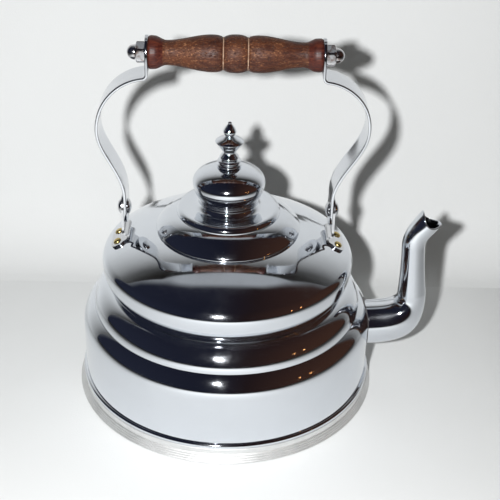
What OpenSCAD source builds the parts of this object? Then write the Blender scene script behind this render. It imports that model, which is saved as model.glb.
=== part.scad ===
// Stove-top kettle with stepped round body, gooseneck spout, lift-off lid and swinging bail.
// Units are millimetres. +Z is up, the spout points along +X, the floor is z = 0.

/* [Body] */
// outer radius of the drum wall
drum_r = 105.5; // [80:0.5:130]
// sheet thickness of the body shells
sheet_t = 1.2; // [0.8:0.1:2]
// how far the flared foot stands out past the band
foot_flare = 3.3; // [1:0.1:8]
// height of the flared part of the foot
foot_h = 6; // [4:0.5:9]
// depth of the turned lines in the foot
foot_line = 0.5; // [0.2:0.1:1]
// radial width of the band above the flare
band_w = 1.5; // [1:0.1:3]
// height of the band above the flare
band_h = 3.9; // [2:0.1:6]
// thickness of the bottom plate
bottom_t = 1.5; // [1:0.1:3]
// section radius of the seam bead round the drum
bead_r = 2; // [1:0.1:3]
// height where the drum wall starts to curve in
shoulder_z = 51; // [40:0.5:70]
// radius of the drum shoulder's curve
shoulder_round = 18; // [10:0.5:24]
// angle through which the drum shoulder curves
shoulder_deg = 58; // [40:1:70]
// radius of the middle step's curve
tier_round = 17; // [10:0.5:22]
// angle through which the middle step curves
tier_deg = 79; // [60:1:85]
// width of the lips that the shells stand on
lip_w = 3; // [2:0.5:6]

/* [Dome] */
// how far the dome's widest line stands out past the top of the middle step
dome_out = 6.7; // [4:0.1:12]
// height of the dome's widest line above the middle step
dome_rise = 18.6; // [14:0.1:26]
// radius of the curve under the widest line
dome_under_round = 31.5; // [20:0.5:45]
// radius of the curve over the widest line
dome_edge_round = 9; // [6:0.5:14]
// angle where the edge curve meets the top curve
dome_edge_deg = 56; // [48:0.5:64]
// radius of the dome's gently rounded top curve
dome_top_round = 120; // [90:1:300]
// how far the neck hole's edge lies inside the lid's rim
neck_in = 2.8; // [2:0.1:6]

/* [Lid seat] */
// thickness of the seat ring and of the lid's skirt
seat_t = 1; // [0.8:0.1:2]
// depth of the seat ring below the neck
seat_depth = 10; // [6:0.5:16]
// radial gap between the seat ring and the lid's skirt
skirt_gap = 0.4; // [0.2:0.05:1]

/* [Lid] */
// outer radius of the lid's rim
lid_r = 51.3; // [44:0.1:58]
// sheet thickness of the lid and the knob's ball
lid_t = 1; // [0.8:0.1:1.6]
// gap between the closed lid's flange and the seat ring
flange_gap = 0.3; // [0.1:0.05:0.6]
// gap between the closed rim and the dome
rim_gap = 0.15; // [0.1:0.05:0.4]
// outer radius of the lid's upper step
step_r = 36.5; // [28:0.1:44]
// radius of the lid's lower curve
cover_round = 30.7; // [20:0.1:45]
// angle where the lid's lower curve starts at the rim
cover_deg = 35; // [25:1:50]
// radius of the upper step's curve
step_round = 4.2; // [2:0.1:6]
// height of the fillet under the knob
cove_h = 5; // [3:0.1:8]
// radius of the knob's neck
neck_knob_r = 20.2; // [14:0.1:26]
// depth of the lid's skirt below its flange
skirt_depth = 11.8; // [7:0.1:16]

/* [Knob] */
// height of the ring under the ball
ring_h = 1.6; // [1:0.1:3]
// how far the ring stands out past the neck
ring_out = 1; // [0.5:0.1:2]
// largest radius of the ball
ball_r = 25.3; // [18:0.1:32]
// height of the ball's widest line above the ring
ball_low = 11.8; // [8:0.1:16]
// height of the ball above its widest line
ball_up = 12.5; // [8:0.1:18]
// radius of the flat on the ball that carries the finial
ball_seat_r = 8.8; // [6:0.1:12]
// height of the finial
finial_h = 33.6; // [24:0.1:44]
// radius of the finial's saucer
saucer_r = 9.8; // [6:0.1:14]
// radius of the finial's foot
finial_foot_r = 8.6; // [5:0.1:11]
// radius of the lid's stud
stud_r = 2; // [1.5:0.1:3]
// length of the stud inside the finial
stud_in = 8; // [5:0.5:12]
// clearance of the stud in the sheet metal
stud_clear = 0.2; // [0.1:0.05:0.5]
// thickness of the lid's nut
lid_nut_t = 3.2; // [2:0.1:5]
// width across the flats of the lid's nut
lid_nut_af = 7; // [6:0.1:10]
// thickness of the lid's washer
lid_washer_t = 1; // [0.5:0.1:1.6]

/* [Spout] */
// outer radius of the spout at the drum
spout_root_r = 16.5; // [10:0.5:20]
// outer radius of the spout above the bend
spout_bend_r = 10.4; // [7:0.1:14]
// outer radius of the spout's upright tube
spout_tube_r = 8.3; // [6:0.1:11]
// outer radius of the spout at its mouth
spout_mouth_r = 8.8; // [6:0.1:13]
// wall thickness of the spout
spout_t = 1.2; // [0.8:0.1:2]
// height of the spout's root
spout_root_z = 44.5; // [30:0.5:52]
// distance of the spout's upright tube from the drum wall
spout_out = 31; // [24:0.5:50]
// height where the spout's bend ends
spout_bend_z = 72; // [62:0.5:90]
// length of the handle that rounds the inside of the spout's bend
spout_in_h = 8; // [4:0.5:14]
// length of the handle that rounds the outside of the spout's bend
spout_out_h = 31; // [20:0.5:36]
// height where the spout's mouth starts to lean out
spout_turn_z = 110.5; // [90:0.5:125]
// how far the upright tube leans back
spout_back = 2.5; // [0:0.1:6]
// how far the mouth reaches past the upright tube
spout_lip_x = 11.3; // [4:0.1:24]
// height of the mouth's centre
spout_lip_z = 134.9; // [115:0.1:160]
// angle of the mouth's direction above level
spout_lip_deg = 55; // [20:1:80]

/* [Bail] */
// height of the bail's pivots
pivot_z = 140; // [130:0.5:160]
// how far the arm's middle at the pivot lies inside the dome's widest line
arm_inset = 18; // [12:0.5:28]
// height of the arm's flat lower part above the pivots
arm_flat = 11; // [6:0.5:14]
// thickness of the arms
arm_t = 2; // [1.5:0.1:3]
// width of the arms
arm_w = 23; // [14:0.5:28]
// how far the arms bulge out past the pivots
arm_bulge = 19.4; // [8:0.1:30]
// height of the arm's widest point above the pivots
bulge_rise = 64; // [50:0.5:76]
// height of the arm's upper bend above its widest point
bend_rise = 35.5; // [28:0.5:50]
// inner radius of the arm's upper bend
bend_round = 2.5; // [1.5:0.1:5]
// how far the grip sits towards the spout, off the kettle's axis
grip_shift = 3.2; // [-4:0.1:4]
// height of the grip's axis above the arm's upper bend
grip_rise = 15; // [13:0.1:24]
// length of the grip
grip_len = 114; // [90:1:130]
// radius of the grip's middle bead
grip_bead_r = 12.5; // [9:0.1:16]
// radius of the grip's swells
grip_swell_r = 12.2; // [9:0.1:16]
// radius of the grip's necks
grip_neck_r = 8.2; // [6:0.1:11]
// radius of the grip's end collars
grip_end_r = 10.9; // [8:0.1:14]
// length of the grip's middle bead
grip_bead_w = 16.2; // [10:0.1:24]
// depth of the grooves beside the bead
groove_d = 1.2; // [0.5:0.1:2]
// radius of the tie rod through the grip
rod_r = 3; // [2:0.1:4]
// clearance of the tie rod in the grip and arms
rod_clear = 0.2; // [0.1:0.05:0.5]
// width across the flats of the cap nuts
nut_af = 13; // [10:0.5:18]
// height of the cap nut's hexagon
nut_h = 6.2; // [4:0.1:9]
// radius of the cap nut's dome
nut_dome_r = 4.9; // [4:0.1:6]
// total height of the cap nuts
nut_total = 12.2; // [10:0.1:18]
// length of the tie rod inside each cap nut
rod_in_nut = 7.5; // [5:0.5:9]

/* [Brackets and rivets] */
// thickness of the brackets
brk_t = 1.6; // [1.2:0.1:2.5]
// gap between the arm and its bracket
pivot_gap = 0.3; // [0.15:0.05:0.8]
// radius of the bracket's rounded top
ear_r = 9; // [6:0.5:12]
// half the width of the bracket where it meets its foot
ear_base = 10; // [9:0.5:16]
// how far the foot's inner edge lies inside the dome's widest line
brk_inset = 20.5; // [14:0.5:28]
// width of the bracket's foot away from the axis
brk_foot_w = 12.5; // [10:0.5:20]
// length of the bracket's foot from front to back
brk_foot_len = 25; // [22:1:44]
// corner radius of the bracket's foot
brk_corner = 4; // [2:0.5:7]
// height of the pivots above the bracket's joggle
joggle_drop = 16.5; // [14:0.5:19]
// radius of the pivot rivet's shank
pivot_r = 2.5; // [2:0.1:4]
// radial clearance of the arm on the pivot rivet
pivot_clear = 0.06; // [0.02:0.01:0.1]
// radius of the pivot rivet's heads
pivot_head_r = 5.4; // [4:0.1:8]
// height of the outer pivot head
pivot_head_h = 3.2; // [2:0.1:5]
// height of the inner pivot head
pivot_inner_h = 2.4; // [1.5:0.1:4]
// radius of the brass rivet's shank
rivet_r = 1.6; // [1.2:0.1:2.5]
// radius of the brass rivet's head
rivet_head_r = 2.9; // [2:0.1:4]
// height of the brass rivet's head
rivet_head_h = 1.6; // [1:0.1:2.5]
// gap between the brass rivets' heads and the sheet
rivet_seat = 0.04; // [0.02:0.01:0.1]
// how far the brass rivets lie inside the dome's widest line
rivet_inset = 11.8; // [8:0.1:16]
// distance between the two brass rivets of a bracket
rivet_pitch = 14; // [9:0.1:20]

/* [Hidden] */
$fn = 96;
chrome = [0.78, 0.79, 0.82];
steel = [0.66, 0.67, 0.70];
brass = [0.71, 0.58, 0.27];
wood = [0.38, 0.19, 0.11];
tin = [0.74, 0.74, 0.73];

function arc(c, r, a0, a1, n) =
  [for (i = [0:n]) let (a = a0 + (a1 - a0) * i / n) [c[0] + r * cos(a), c[1] + r * sin(a)]];
function rev(p) = [for (i = [len(p) - 1:-1:0]) p[i]];
function bez(a, b, c, d, t) =
  pow(1 - t, 3) * a + 3 * pow(1 - t, 2) * t * b + 3 * (1 - t) * t * t * c + pow(t, 3) * d;
function smooth(t) = let (u = max(0, min(1, t))) u * u * (3 - 2 * u);

// foot and drum
band_r = drum_r + band_w;
foot_r = band_r + foot_flare;
band_top = foot_h + band_h;
bead_z = band_top + bead_r;
bead_deg = 84;
drum_in = drum_r - sheet_t;
sh_c = [drum_r - shoulder_round, shoulder_z];
tier_r = sh_c[0] + shoulder_round * cos(shoulder_deg);
tier_z = sh_c[1] + shoulder_round * sin(shoulder_deg);
tier_c = [tier_r - tier_round, tier_z];
waist_r = tier_c[0] + tier_round * cos(tier_deg);
waist_z = tier_c[1] + tier_round * sin(tier_deg);

// dome: three arcs that meet smoothly, drawn at any offset from the outside
dome_r = waist_r + dome_out;
dome_z = waist_z + dome_rise;
under_c = [dome_r - dome_under_round, dome_z];
edge_c = [dome_r - dome_edge_round, dome_z];
neck_r = lid_r - neck_in;
top_c = edge_c - (dome_top_round - dome_edge_round) * [cos(dome_edge_deg), sin(dome_edge_deg)];
function dome_top_a(r, off) = acos((r - top_c[0]) / (dome_top_round + off));
function dome_h(r) = top_c[1] + dome_top_round * sin(dome_top_a(r, 0));
function dome_pts(off, r_end) = concat(
  arc(under_c, dome_under_round + off, asin((waist_z - dome_z) / (dome_under_round + off)), 0, 7),
  [for (p = arc(edge_c, dome_edge_round + off, 0, dome_edge_deg, 9)) if (p[1] > dome_z + 0.01) p],
  [for (p = arc(top_c, dome_top_round + off, dome_edge_deg, dome_top_a(r_end, off), 7))
    if (p[0] < edge_c[0] + (dome_edge_round + off) * cos(dome_edge_deg) - 0.01) p]);
neck_z = dome_h(neck_r);

// lid: the rim's lower edge clears the dome, and the flange clears the seat ring
lid_z = dome_h(lid_r - lid_t) + rim_gap;
flange_z = neck_z + flange_gap;
rim_top = flange_z + seat_t;
cover_c = [lid_r - cover_round * cos(cover_deg), rim_top - cover_round * sin(cover_deg)];
step_z = cover_c[1] + sqrt(pow(cover_round, 2) - pow(step_r - cover_c[0], 2));
step_top = step_z + step_round;
cove_z = step_top + cove_h;
skirt_r = neck_r - seat_t - skirt_gap;
seat_top = neck_z;

// knob: the ball stands on the ring, the finial on the ball
ball_foot_z = cove_z + ring_h;
ball_z = ball_foot_z + ball_low;
ball_foot_r = neck_knob_r + 0.2;
ball_down = ball_low / sqrt(1 - pow(ball_foot_r / ball_r, 2));
seat_z = ball_z + ball_up * sqrt(1 - pow(ball_seat_r / ball_r, 2));
tip_z = seat_z + finial_h;
stud_low = cove_z - lid_t - lid_washer_t - lid_nut_t - 1.5;

// bail and brackets
bulge_z = pivot_z + bulge_rise;
bend_z = bulge_z + bend_rise;
grip_z = bend_z + grip_rise;
arm_x = dome_r - arm_inset;
arm_in = arm_x - arm_t / 2;
arm_out = arm_x + arm_t / 2;
ear_x = arm_out + pivot_gap;
joggle_z = pivot_z - joggle_drop;
plate_x = grip_len / 2 + arm_t / 2;
plate_out = plate_x + arm_t / 2;
brk_foot_x = dome_r - brk_inset;
rivet_ring = dome_r - rivet_inset;
rivet_deg = asin(rivet_pitch / 2 / rivet_ring);
rivet_e = dome_top_a(rivet_ring, 0);
bulge_x = arm_x + arm_bulge;
rise_z = pivot_z + arm_flat;
arm_path = concat(
  [[arm_x, pivot_z - arm_w / 2 - 1]],
  [for (i = [0:20]) bez([arm_x, rise_z], [arm_x, rise_z + (bulge_z - rise_z) * 0.4],
    [bulge_x, bulge_z - (bulge_z - rise_z) * 0.34], [bulge_x, bulge_z], i / 20)],
  [for (i = [1:20]) bez([bulge_x, bulge_z], [bulge_x, bulge_z + (bend_z - bulge_z) * 0.56],
    [plate_x + (bulge_x - plate_x) * 0.57, bend_z - 2.2], [plate_x + bend_round + 1.5, bend_z + 0.1], i / 20)],
  [for (a = [255:-15:180]) [plate_x + bend_round + arm_t / 2, bend_z + bend_round + arm_t / 2 + 0.2]
    + (bend_round + arm_t / 2) * [cos(a), sin(a)]],
  [[plate_x, grip_z + arm_w / 2 + 1]]);
function shifted(p, s) = let (k = smooth((p[1] - rise_z) / (bend_z - 6 - rise_z)))
  [p[0] + s * grip_shift * k, p[1]];
function nrm(p, i) = let (a = p[max(0, i - 1)], b = p[min(len(p) - 1, i + 1)], d = b - a)
  [-d[1], d[0]] / norm(d);
function ribbon(p, t) = concat([for (i = [0:len(p) - 1]) p[i] + nrm(p, i) * t / 2],
  [for (i = [len(p) - 1:-1:0]) p[i] - nrm(p, i) * t / 2]);

// spout: rings swept round a bend that is drawn by its inside and outside curves, then along two curves
spout_x = drum_r + spout_out;
spout_up_x = spout_x - spout_back;
mouth = [spout_up_x + spout_lip_x, spout_lip_z];
lip_d = [cos(spout_lip_deg), sin(spout_lip_deg)];
root = [drum_r - 3, spout_root_z];
bend_d = [-spout_back, spout_turn_z - spout_bend_z] / norm([spout_back, spout_turn_z - spout_bend_z]);
bend_end = [spout_x, spout_bend_z];
bend_n = [-bend_d[1], bend_d[0]];
function inside(s) = bez(root + [0, spout_root_r], root + [2.1 * spout_in_h, spout_root_r + 1],
  bend_end + spout_bend_r * bend_n - spout_in_h * bend_d, bend_end + spout_bend_r * bend_n, s);
function outside(s) = bez(root - [0, spout_root_r], root + [1.2 * spout_out_h, 1.5 - spout_root_r],
  bend_end - spout_bend_r * bend_n - spout_out_h * bend_d, bend_end - spout_bend_r * bend_n, s);
function spout_axis(s) = s <= 2 ? bez(bend_end, bend_end + 12 * bend_d,
    [spout_up_x, spout_turn_z] - 12 * bend_d, [spout_up_x, spout_turn_z], s - 1)
  : bez([spout_up_x, spout_turn_z], [spout_up_x, spout_turn_z] + 10 * bend_d,
    mouth - 11 * lip_d, mouth, s - 2);
function spout_r(s) = s <= 2 ? spout_bend_r + (spout_tube_r - spout_bend_r) * (1 - pow(2 - s, 2))
  : spout_tube_r + (spout_mouth_r - spout_tube_r) * smooth((s - 2.3) / 0.7);
// centre and inward radius of the spout's ring at s
function spout_mid(s) = s <= 1 ? (inside(s) + outside(s)) / 2 : spout_axis(s);
function spout_rad(s) = s <= 1 ? (inside(s) - outside(s)) / 2
  : let (q = spout_axis(min(3, s + 0.02)) - spout_axis(max(1, s - 0.02)), u = q / norm(q))
    spout_r(s) * [-u[1], u[0]];
function drum_x(y, z) = let (d = z - shoulder_z,
  r = d <= 0 ? drum_r : sh_c[0] + sqrt(pow(shoulder_round, 2) - d * d)) sqrt(r * r - y * y) + 0.03;
spout_n = 36;
spout_k = 32;
function spout_ring(i, off) = let (s = 3 * i / spout_n, c = spout_mid(s), h = spout_rad(s),
  r = norm(h) + off, v = h / norm(h))
  [for (k = [0:spout_k - 1]) let (a = 360 * k / spout_k, y = r * sin(a),
    p = [c[0] + r * cos(a) * v[0], y, c[1] + r * cos(a) * v[1]])
    i == 0 ? let (z = spout_root_z + r * cos(a)) [drum_x(y, z), y, z]
    : [max(p[0], drum_x(y, p[2]) + i * 0.4), p[1], p[2]]];

module turn(p) { rotate_extrude() polygon(p); }
module side(s) { if (s < 0) mirror([1, 0, 0]) children(); else children(); }
module along_x(x0, x1, r) { translate([x0, 0, 0]) rotate([0, 90, 0]) cylinder(h = x1 - x0, r = r); }

// places of the brass rivets: local +Z is the outward normal of the dome
module at_rivets() {
  for (s = [-1, 1]) rotate([0, 0, s * rivet_deg]) translate([rivet_ring, 0, dome_h(rivet_ring)])
    rotate([0, 90 - rivet_e, 0]) children();
}
module rivet_bores() {
  reach = 3 * (brk_t + sheet_t);
  at_rivets() translate([0, 0, -reach]) cylinder(h = 2 * reach, r = rivet_r);
}
module dome_solid(off) {
  p = dome_pts(off, neck_r);
  turn(concat([[0, waist_z]], p, [[0, p[len(p) - 1][1]]]));
}

module base_pan() {
  d = [band_r + foot_line - foot_r, foot_h];
  color(tin) turn(concat([[0, 0]],
    [for (i = [0:3]) each [[foot_r + d[0] * i / 4, d[1] * i / 4],
      [foot_r + d[0] * (i + 0.75) / 4, d[1] * (i + 0.75) / 4],
      [foot_r + d[0] * (i + 0.85) / 4 - foot_line, d[1] * (i + 0.85) / 4]]],
    [[band_r, foot_h], [band_r, band_top], [drum_r, band_top], [drum_r, bottom_t], [0, bottom_t]]));
}

module seam_bead() {
  color(chrome) turn(concat([[drum_r, bead_z - bead_r]],
    arc([drum_r, bead_z], bead_r, -bead_deg, bead_deg, 14), [[drum_r, bead_z + bead_r]]));
}

module drum_shell() {
  color(chrome) difference() {
    turn(concat([[drum_r, bottom_t]], arc(sh_c, shoulder_round, 0, shoulder_deg, 12),
      [[tier_r - lip_w, tier_z], [tier_r - lip_w, tier_z - sheet_t]],
      [for (p = arc(sh_c, shoulder_round - sheet_t, shoulder_deg, 0, 12))
        if (p[1] < tier_z - sheet_t - 0.01) p],
      [[drum_in, bottom_t]]));
    translate([0, 0, spout_root_z]) along_x(drum_r / 2, drum_r + spout_root_r, spout_root_r - spout_t);
  }
}

module middle_shell() {
  color(chrome) turn(concat(arc(tier_c, tier_round, 0, tier_deg, 14),
    [[waist_r - lip_w, waist_z], [waist_r - lip_w, waist_z - sheet_t]],
    [for (p = arc(tier_c, tier_round - sheet_t, tier_deg, 0, 14))
      if (p[1] < waist_z - sheet_t - 0.01) p]));
}

module dome_shell() {
  color(chrome) difference() {
    turn(concat(dome_pts(0, neck_r), rev(dome_pts(-sheet_t, neck_r))));
    rivet_bores();
    rotate([0, 0, 180]) rivet_bores();
  }
}

module lid_seat_ring() {
  color(chrome) turn([[neck_r, seat_top - seat_depth], [neck_r, seat_top],
    [neck_r - seat_t, seat_top], [neck_r - seat_t, seat_top - seat_depth]]);
}

module spout() {
  k = spout_k;
  m = spout_n + 1;
  pts = [for (i = [0:spout_n]) each spout_ring(i, 0), for (i = [spout_n:-1:0]) each spout_ring(i, -spout_t)];
  color(chrome) polyhedron(points = pts, faces = [for (i = [0:2 * m - 1], j = [0:k - 1])
    let (n = (i + 1) % (2 * m), l = (j + 1) % k) each
    [[i * k + j, i * k + l, n * k + j], [i * k + l, n * k + l, n * k + j]]], convexity = 8);
}

module bracket(s) {
  h = dome_h(brk_foot_x);
  c = brk_corner;
  color(steel) side(s) difference() {
    union() {
      intersection() {
        dome_solid(brk_t);
        translate([0, 0, dome_z]) linear_extrude(dome_r) union() {
          translate([brk_foot_x, -brk_foot_len / 2 + c]) square([brk_foot_w, brk_foot_len - 2 * c]);
          translate([brk_foot_x + c, -brk_foot_len / 2]) square([brk_foot_w - 2 * c, brk_foot_len]);
          for (x = [c, brk_foot_w - c], y = [c, brk_foot_len - c])
            translate([brk_foot_x + x, y - brk_foot_len / 2]) circle(r = c);
        }
      }
      intersection() {
        rotate([90, 0, 0]) linear_extrude(2 * ear_base + 10, center = true) polygon([
          [brk_foot_x, h - 6], [brk_foot_x, h + 1.2], [ear_x, joggle_z], [ear_x, pivot_z + ear_r + 5],
          [ear_x + brk_t, pivot_z + ear_r + 5], [ear_x + brk_t, joggle_z - 0.4],
          [brk_foot_x + brk_t, h + 0.4], [brk_foot_x + brk_t, h - 6]]);
        rotate([90, 0, 90]) linear_extrude(2 * drum_r) union() {
          translate([0, pivot_z]) circle(r = ear_r);
          polygon([[-ear_r, pivot_z], [ear_r, pivot_z], [ear_r, joggle_z + 3], [ear_base, h + 1],
            [ear_base, h - 8], [-ear_base, h - 8], [-ear_base, h + 1], [-ear_r, joggle_z + 3]]);
        }
      }
    }
    dome_solid(0);
    rivet_bores();
    translate([0, 0, pivot_z]) along_x(ear_x - 1, ear_x + brk_t + 1, pivot_r);
  }
}
module left_bracket() { bracket(-1); }
module right_bracket() { bracket(1); }

module bracket_rivets(s) {
  top = brk_t + rivet_seat;
  color(brass) side(s) at_rivets() {
    turn(concat([[0, -sheet_t - 0.9], [rivet_head_r - 0.5, -sheet_t - 0.9], [rivet_head_r, -sheet_t - 0.1],
      [rivet_r, -sheet_t - 0.1], [rivet_r, top], [rivet_head_r, top]],
      [for (a = [15:15:90]) [rivet_head_r * cos(a), top + rivet_head_h * sin(a)]]));
  }
}
module left_bracket_rivets() { bracket_rivets(-1); }
module right_bracket_rivets() { bracket_rivets(1); }

module pivot_rivet(s) {
  x0 = arm_in - 0.15;
  x1 = ear_x + brk_t;
  color(steel) side(s) translate([0, 0, pivot_z]) rotate([0, 90, 0]) turn(concat(
    [for (a = [-90:15:0]) [pivot_head_r * cos(a), x0 - pivot_inner_h * abs(sin(a))]],
    [[pivot_r, x0], [pivot_r, x1]],
    [for (a = [0:15:90]) [pivot_head_r * cos(a), x1 + pivot_head_h * sin(a)]]));
}
module left_pivot_rivet() { pivot_rivet(-1); }
module right_pivot_rivet() { pivot_rivet(1); }

module arm(s) {
  color(chrome) side(s) difference() {
    intersection() {
      rotate([90, 0, 0]) linear_extrude(arm_w, center = true) polygon(ribbon([for (p = arm_path) shifted(p, s)], arm_t));
      rotate([90, 0, 90]) linear_extrude(2 * drum_r) union() {
        for (z = [pivot_z, grip_z]) translate([0, z]) circle(d = arm_w);
        translate([-arm_w / 2, pivot_z]) square([arm_w, grip_z - pivot_z]);
      }
    }
    translate([0, 0, pivot_z]) along_x(arm_in - 1, arm_out + 1, pivot_r + pivot_clear);
    translate([s * grip_shift, 0, grip_z]) along_x(plate_x - 3, plate_x + 3, rod_r + rod_clear);
  }
}
module left_arm() { arm(-1); }
module right_arm() { arm(1); }

module grip() {
  b = grip_bead_w / 2;
  e = grip_len / 2;
  half = concat(
    [for (i = [0:6]) [grip_bead_r - 0.9 * pow(i / 6, 2), (b - 0.5) * i / 6]],
    [[grip_bead_r - groove_d - 0.6, b], [grip_swell_r - 0.6, b + 0.8]],
    [for (i = [1:4]) [grip_swell_r - 0.6 * pow(1 - i / 4, 2), b + 0.8 + 6.5 * i / 4]],
    [for (i = [1:12]) let (t = i / 12) [grip_swell_r + (grip_neck_r - grip_swell_r) * smooth(t),
      b + 7.3 + (e - 11.9 - b - 7.3) * t]],
    [for (i = [1:5]) let (t = i / 5) [grip_neck_r + (grip_end_r - grip_neck_r) * smooth(t), e - 11.9 + 8 * t]],
    [[grip_end_r + 0.1, e - 1.8], [grip_end_r - 0.5, e]]);
  color(wood) translate([grip_shift, 0, grip_z]) rotate([0, 90, 0]) difference() {
    turn(concat([[0, -e]], [for (i = [len(half) - 1:-1:1]) [half[i][0], -half[i][1]]], half, [[0, e]]));
    translate([0, 0, -e - 1]) cylinder(h = grip_len + 2, r = rod_r + rod_clear);
  }
}

module tie_rod() {
  color(steel) translate([grip_shift, 0, grip_z]) along_x(-plate_out - rod_in_nut, plate_out + rod_in_nut, rod_r);
}

module cap_nut(s) {
  color(chrome) translate([grip_shift, 0, grip_z]) side(s) translate([plate_out, 0, 0]) rotate([0, 90, 0]) difference() {
    union() {
      intersection() {
        cylinder(h = nut_h, d = nut_af / cos(30), $fn = 6);
        turn([[0, 0], [nut_af / 2, 0], [nut_af / 2 + 1.2, 0.8], [nut_af / 2 + 1.2, nut_h - 0.8],
          [nut_af / 2 - 0.2, nut_h], [0, nut_h]]);
      }
      turn(concat([[0, nut_h - 0.5], [nut_dome_r, nut_h - 0.5], [nut_dome_r, nut_total - nut_dome_r]],
        [for (a = [15:15:90]) [nut_dome_r * cos(a), nut_total - nut_dome_r + nut_dome_r * sin(a)]]));
    }
    translate([0, 0, -1]) cylinder(h = rod_in_nut + 1, r = rod_r);
  }
}
module left_cap_nut() { cap_nut(-1); }
module right_cap_nut() { cap_nut(1); }

module lid_cover() {
  a1 = acos((step_r - cover_c[0]) / cover_round);
  t = lid_t;
  c = cove_h - 0.8;
  sc = [step_r - step_round, step_z];
  cc = [neck_knob_r + c, step_top + c];
  color(chrome) turn(concat(
    [[lid_r, lid_z], [lid_r, rim_top - 0.4]], arc(cover_c, cover_round, cover_deg, a1, 12),
    [for (p = arc(sc, step_round, 0, 90, 8)) if (p[1] > step_z + 0.3) p],
    arc(cc, c, 270, 180, 8),
    [[neck_knob_r, cove_z], [stud_r + stud_clear, cove_z], [stud_r + stud_clear, cove_z - t],
      [neck_knob_r - t, cove_z - t]],
    arc(cc, c + t, 180, 270, 8),
    [for (p = arc(sc, step_round - t, 90, 0, 8)) if (p[1] > step_z - 0.2) p],
    [for (p = arc(cover_c, cover_round - t, a1 - 1, cover_deg + 1, 12)) if (p[1] > rim_top) p],
    [[lid_r - t, rim_top], [lid_r - t, lid_z]]));
}

module lid_skirt() {
  color(chrome) turn([[skirt_r, flange_z - skirt_depth], [skirt_r, flange_z], [lid_r - lid_t, flange_z],
    [lid_r - lid_t, rim_top], [skirt_r - seat_t, rim_top], [skirt_r - seat_t, flange_z - skirt_depth]]);
}

module knob_ring() {
  r = neck_knob_r + ring_out;
  color(chrome) turn(concat([[neck_knob_r - 2, cove_z], [neck_knob_r, cove_z]],
    [for (a = [-60:20:60]) [r - ring_h / 2 + ring_h / 2 * cos(a), cove_z + ring_h / 2 + ring_h / 2 * sin(a)]],
    [[neck_knob_r, cove_z + ring_h], [neck_knob_r - 2, cove_z + ring_h]]));
}

module knob_ball() {
  t = lid_t;
  a0 = asin(ball_low / ball_down);
  a1 = acos(ball_seat_r / ball_r);
  color(chrome) turn(concat(
    [for (i = [0:9]) let (a = -a0 * (1 - i / 9)) [ball_r * cos(a), ball_z + ball_down * sin(a)]],
    [for (i = [1:16]) let (a = a1 * i / 16) [ball_r * cos(a), ball_z + ball_up * sin(a)]],
    [[stud_r + stud_clear, seat_z], [stud_r + stud_clear, seat_z - t]],
    [for (i = [16:-1:1]) let (a = a1 * i / 16) [(ball_r - t) * cos(a), ball_z + (ball_up - t) * sin(a)]],
    [for (i = [9:-1:0]) let (a = -a0 * (1 - i / 9)) [(ball_r - t) * cos(a), ball_z + ball_down * sin(a)]]));
}

module finial() {
  z = seat_z;
  h = finial_h / 33.6;
  f = finial_foot_r;
  color(chrome) difference() {
    turn([[0, z], [f - 0.9, z], [f - 0.3, z + 0.5], [f, z + 1.2 * h], [f, z + 2.2 * h], [f - 1.1, z + 3 * h],
      [f - 1.3, z + 3.3 * h], [f - 0.5, z + 3.9 * h], [f - 0.5, z + 4.8 * h], [f - 1.5, z + 5.5 * h],
      [f - 2.9, z + 6.1 * h], [f - 2, z + 6.9 * h], [f - 1.9, z + 7.7 * h], [f - 3.2, z + 9.3 * h],
      [f - 4, z + 10.4 * h], [f - 4.1, z + 11.3 * h], [f - 3.2, z + 12.7 * h],
      [saucer_r - 1.9, z + 16.6 * h], [saucer_r - 0.6, z + 18.2 * h], [saucer_r - 0.1, z + 19 * h],
      [saucer_r, z + 19.6 * h], [saucer_r - 0.4, z + 20.1 * h], [3.6, z + 20.9 * h], [2.5, z + 21.4 * h],
      [2.4, z + 22 * h], [3.4, z + 22.4 * h], [3.4, z + 22.9 * h], [2.7, z + 23.4 * h], [3.6, z + 25 * h],
      [4.2, z + 26.2 * h], [4.2, z + 27.1 * h], [3.5, z + 28.8 * h], [2.4, z + 30.8 * h],
      [1.4, z + 32.4 * h], [0.9, z + 33.1 * h], [0.4, z + 33.5 * h], [0, z + 33.6 * h]]);
    translate([0, 0, z - 1]) cylinder(h = stud_in + 1, r = stud_r);
  }
}

module lid_stud() {
  color(steel) translate([0, 0, stud_low]) cylinder(h = seat_z + stud_in - stud_low, r = stud_r);
}

module lid_washer() {
  z = cove_z - lid_t - lid_washer_t;
  color(steel) turn([[stud_r + stud_clear, z], [6, z], [6, z + lid_washer_t],
    [stud_r + stud_clear, z + lid_washer_t]]);
}

module lid_nut() {
  color(steel) translate([0, 0, cove_z - lid_t - lid_washer_t - lid_nut_t]) difference() {
    cylinder(h = lid_nut_t, d = lid_nut_af / cos(30), $fn = 6);
    translate([0, 0, -1]) cylinder(h = lid_nut_t + 2, r = stud_r);
  }
}

base_pan();
seam_bead();
drum_shell();
middle_shell();
dome_shell();
lid_seat_ring();
spout();
left_bracket();
right_bracket();
left_bracket_rivets();
right_bracket_rivets();
left_pivot_rivet();
right_pivot_rivet();
left_arm();
right_arm();
grip();
tie_rod();
left_cap_nut();
right_cap_nut();
lid_cover();
lid_skirt();
knob_ring();
knob_ball();
finial();
lid_stud();
lid_washer();
lid_nut();
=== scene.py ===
import math
import bpy
from mathutils import Vector, Matrix, noise


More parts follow.
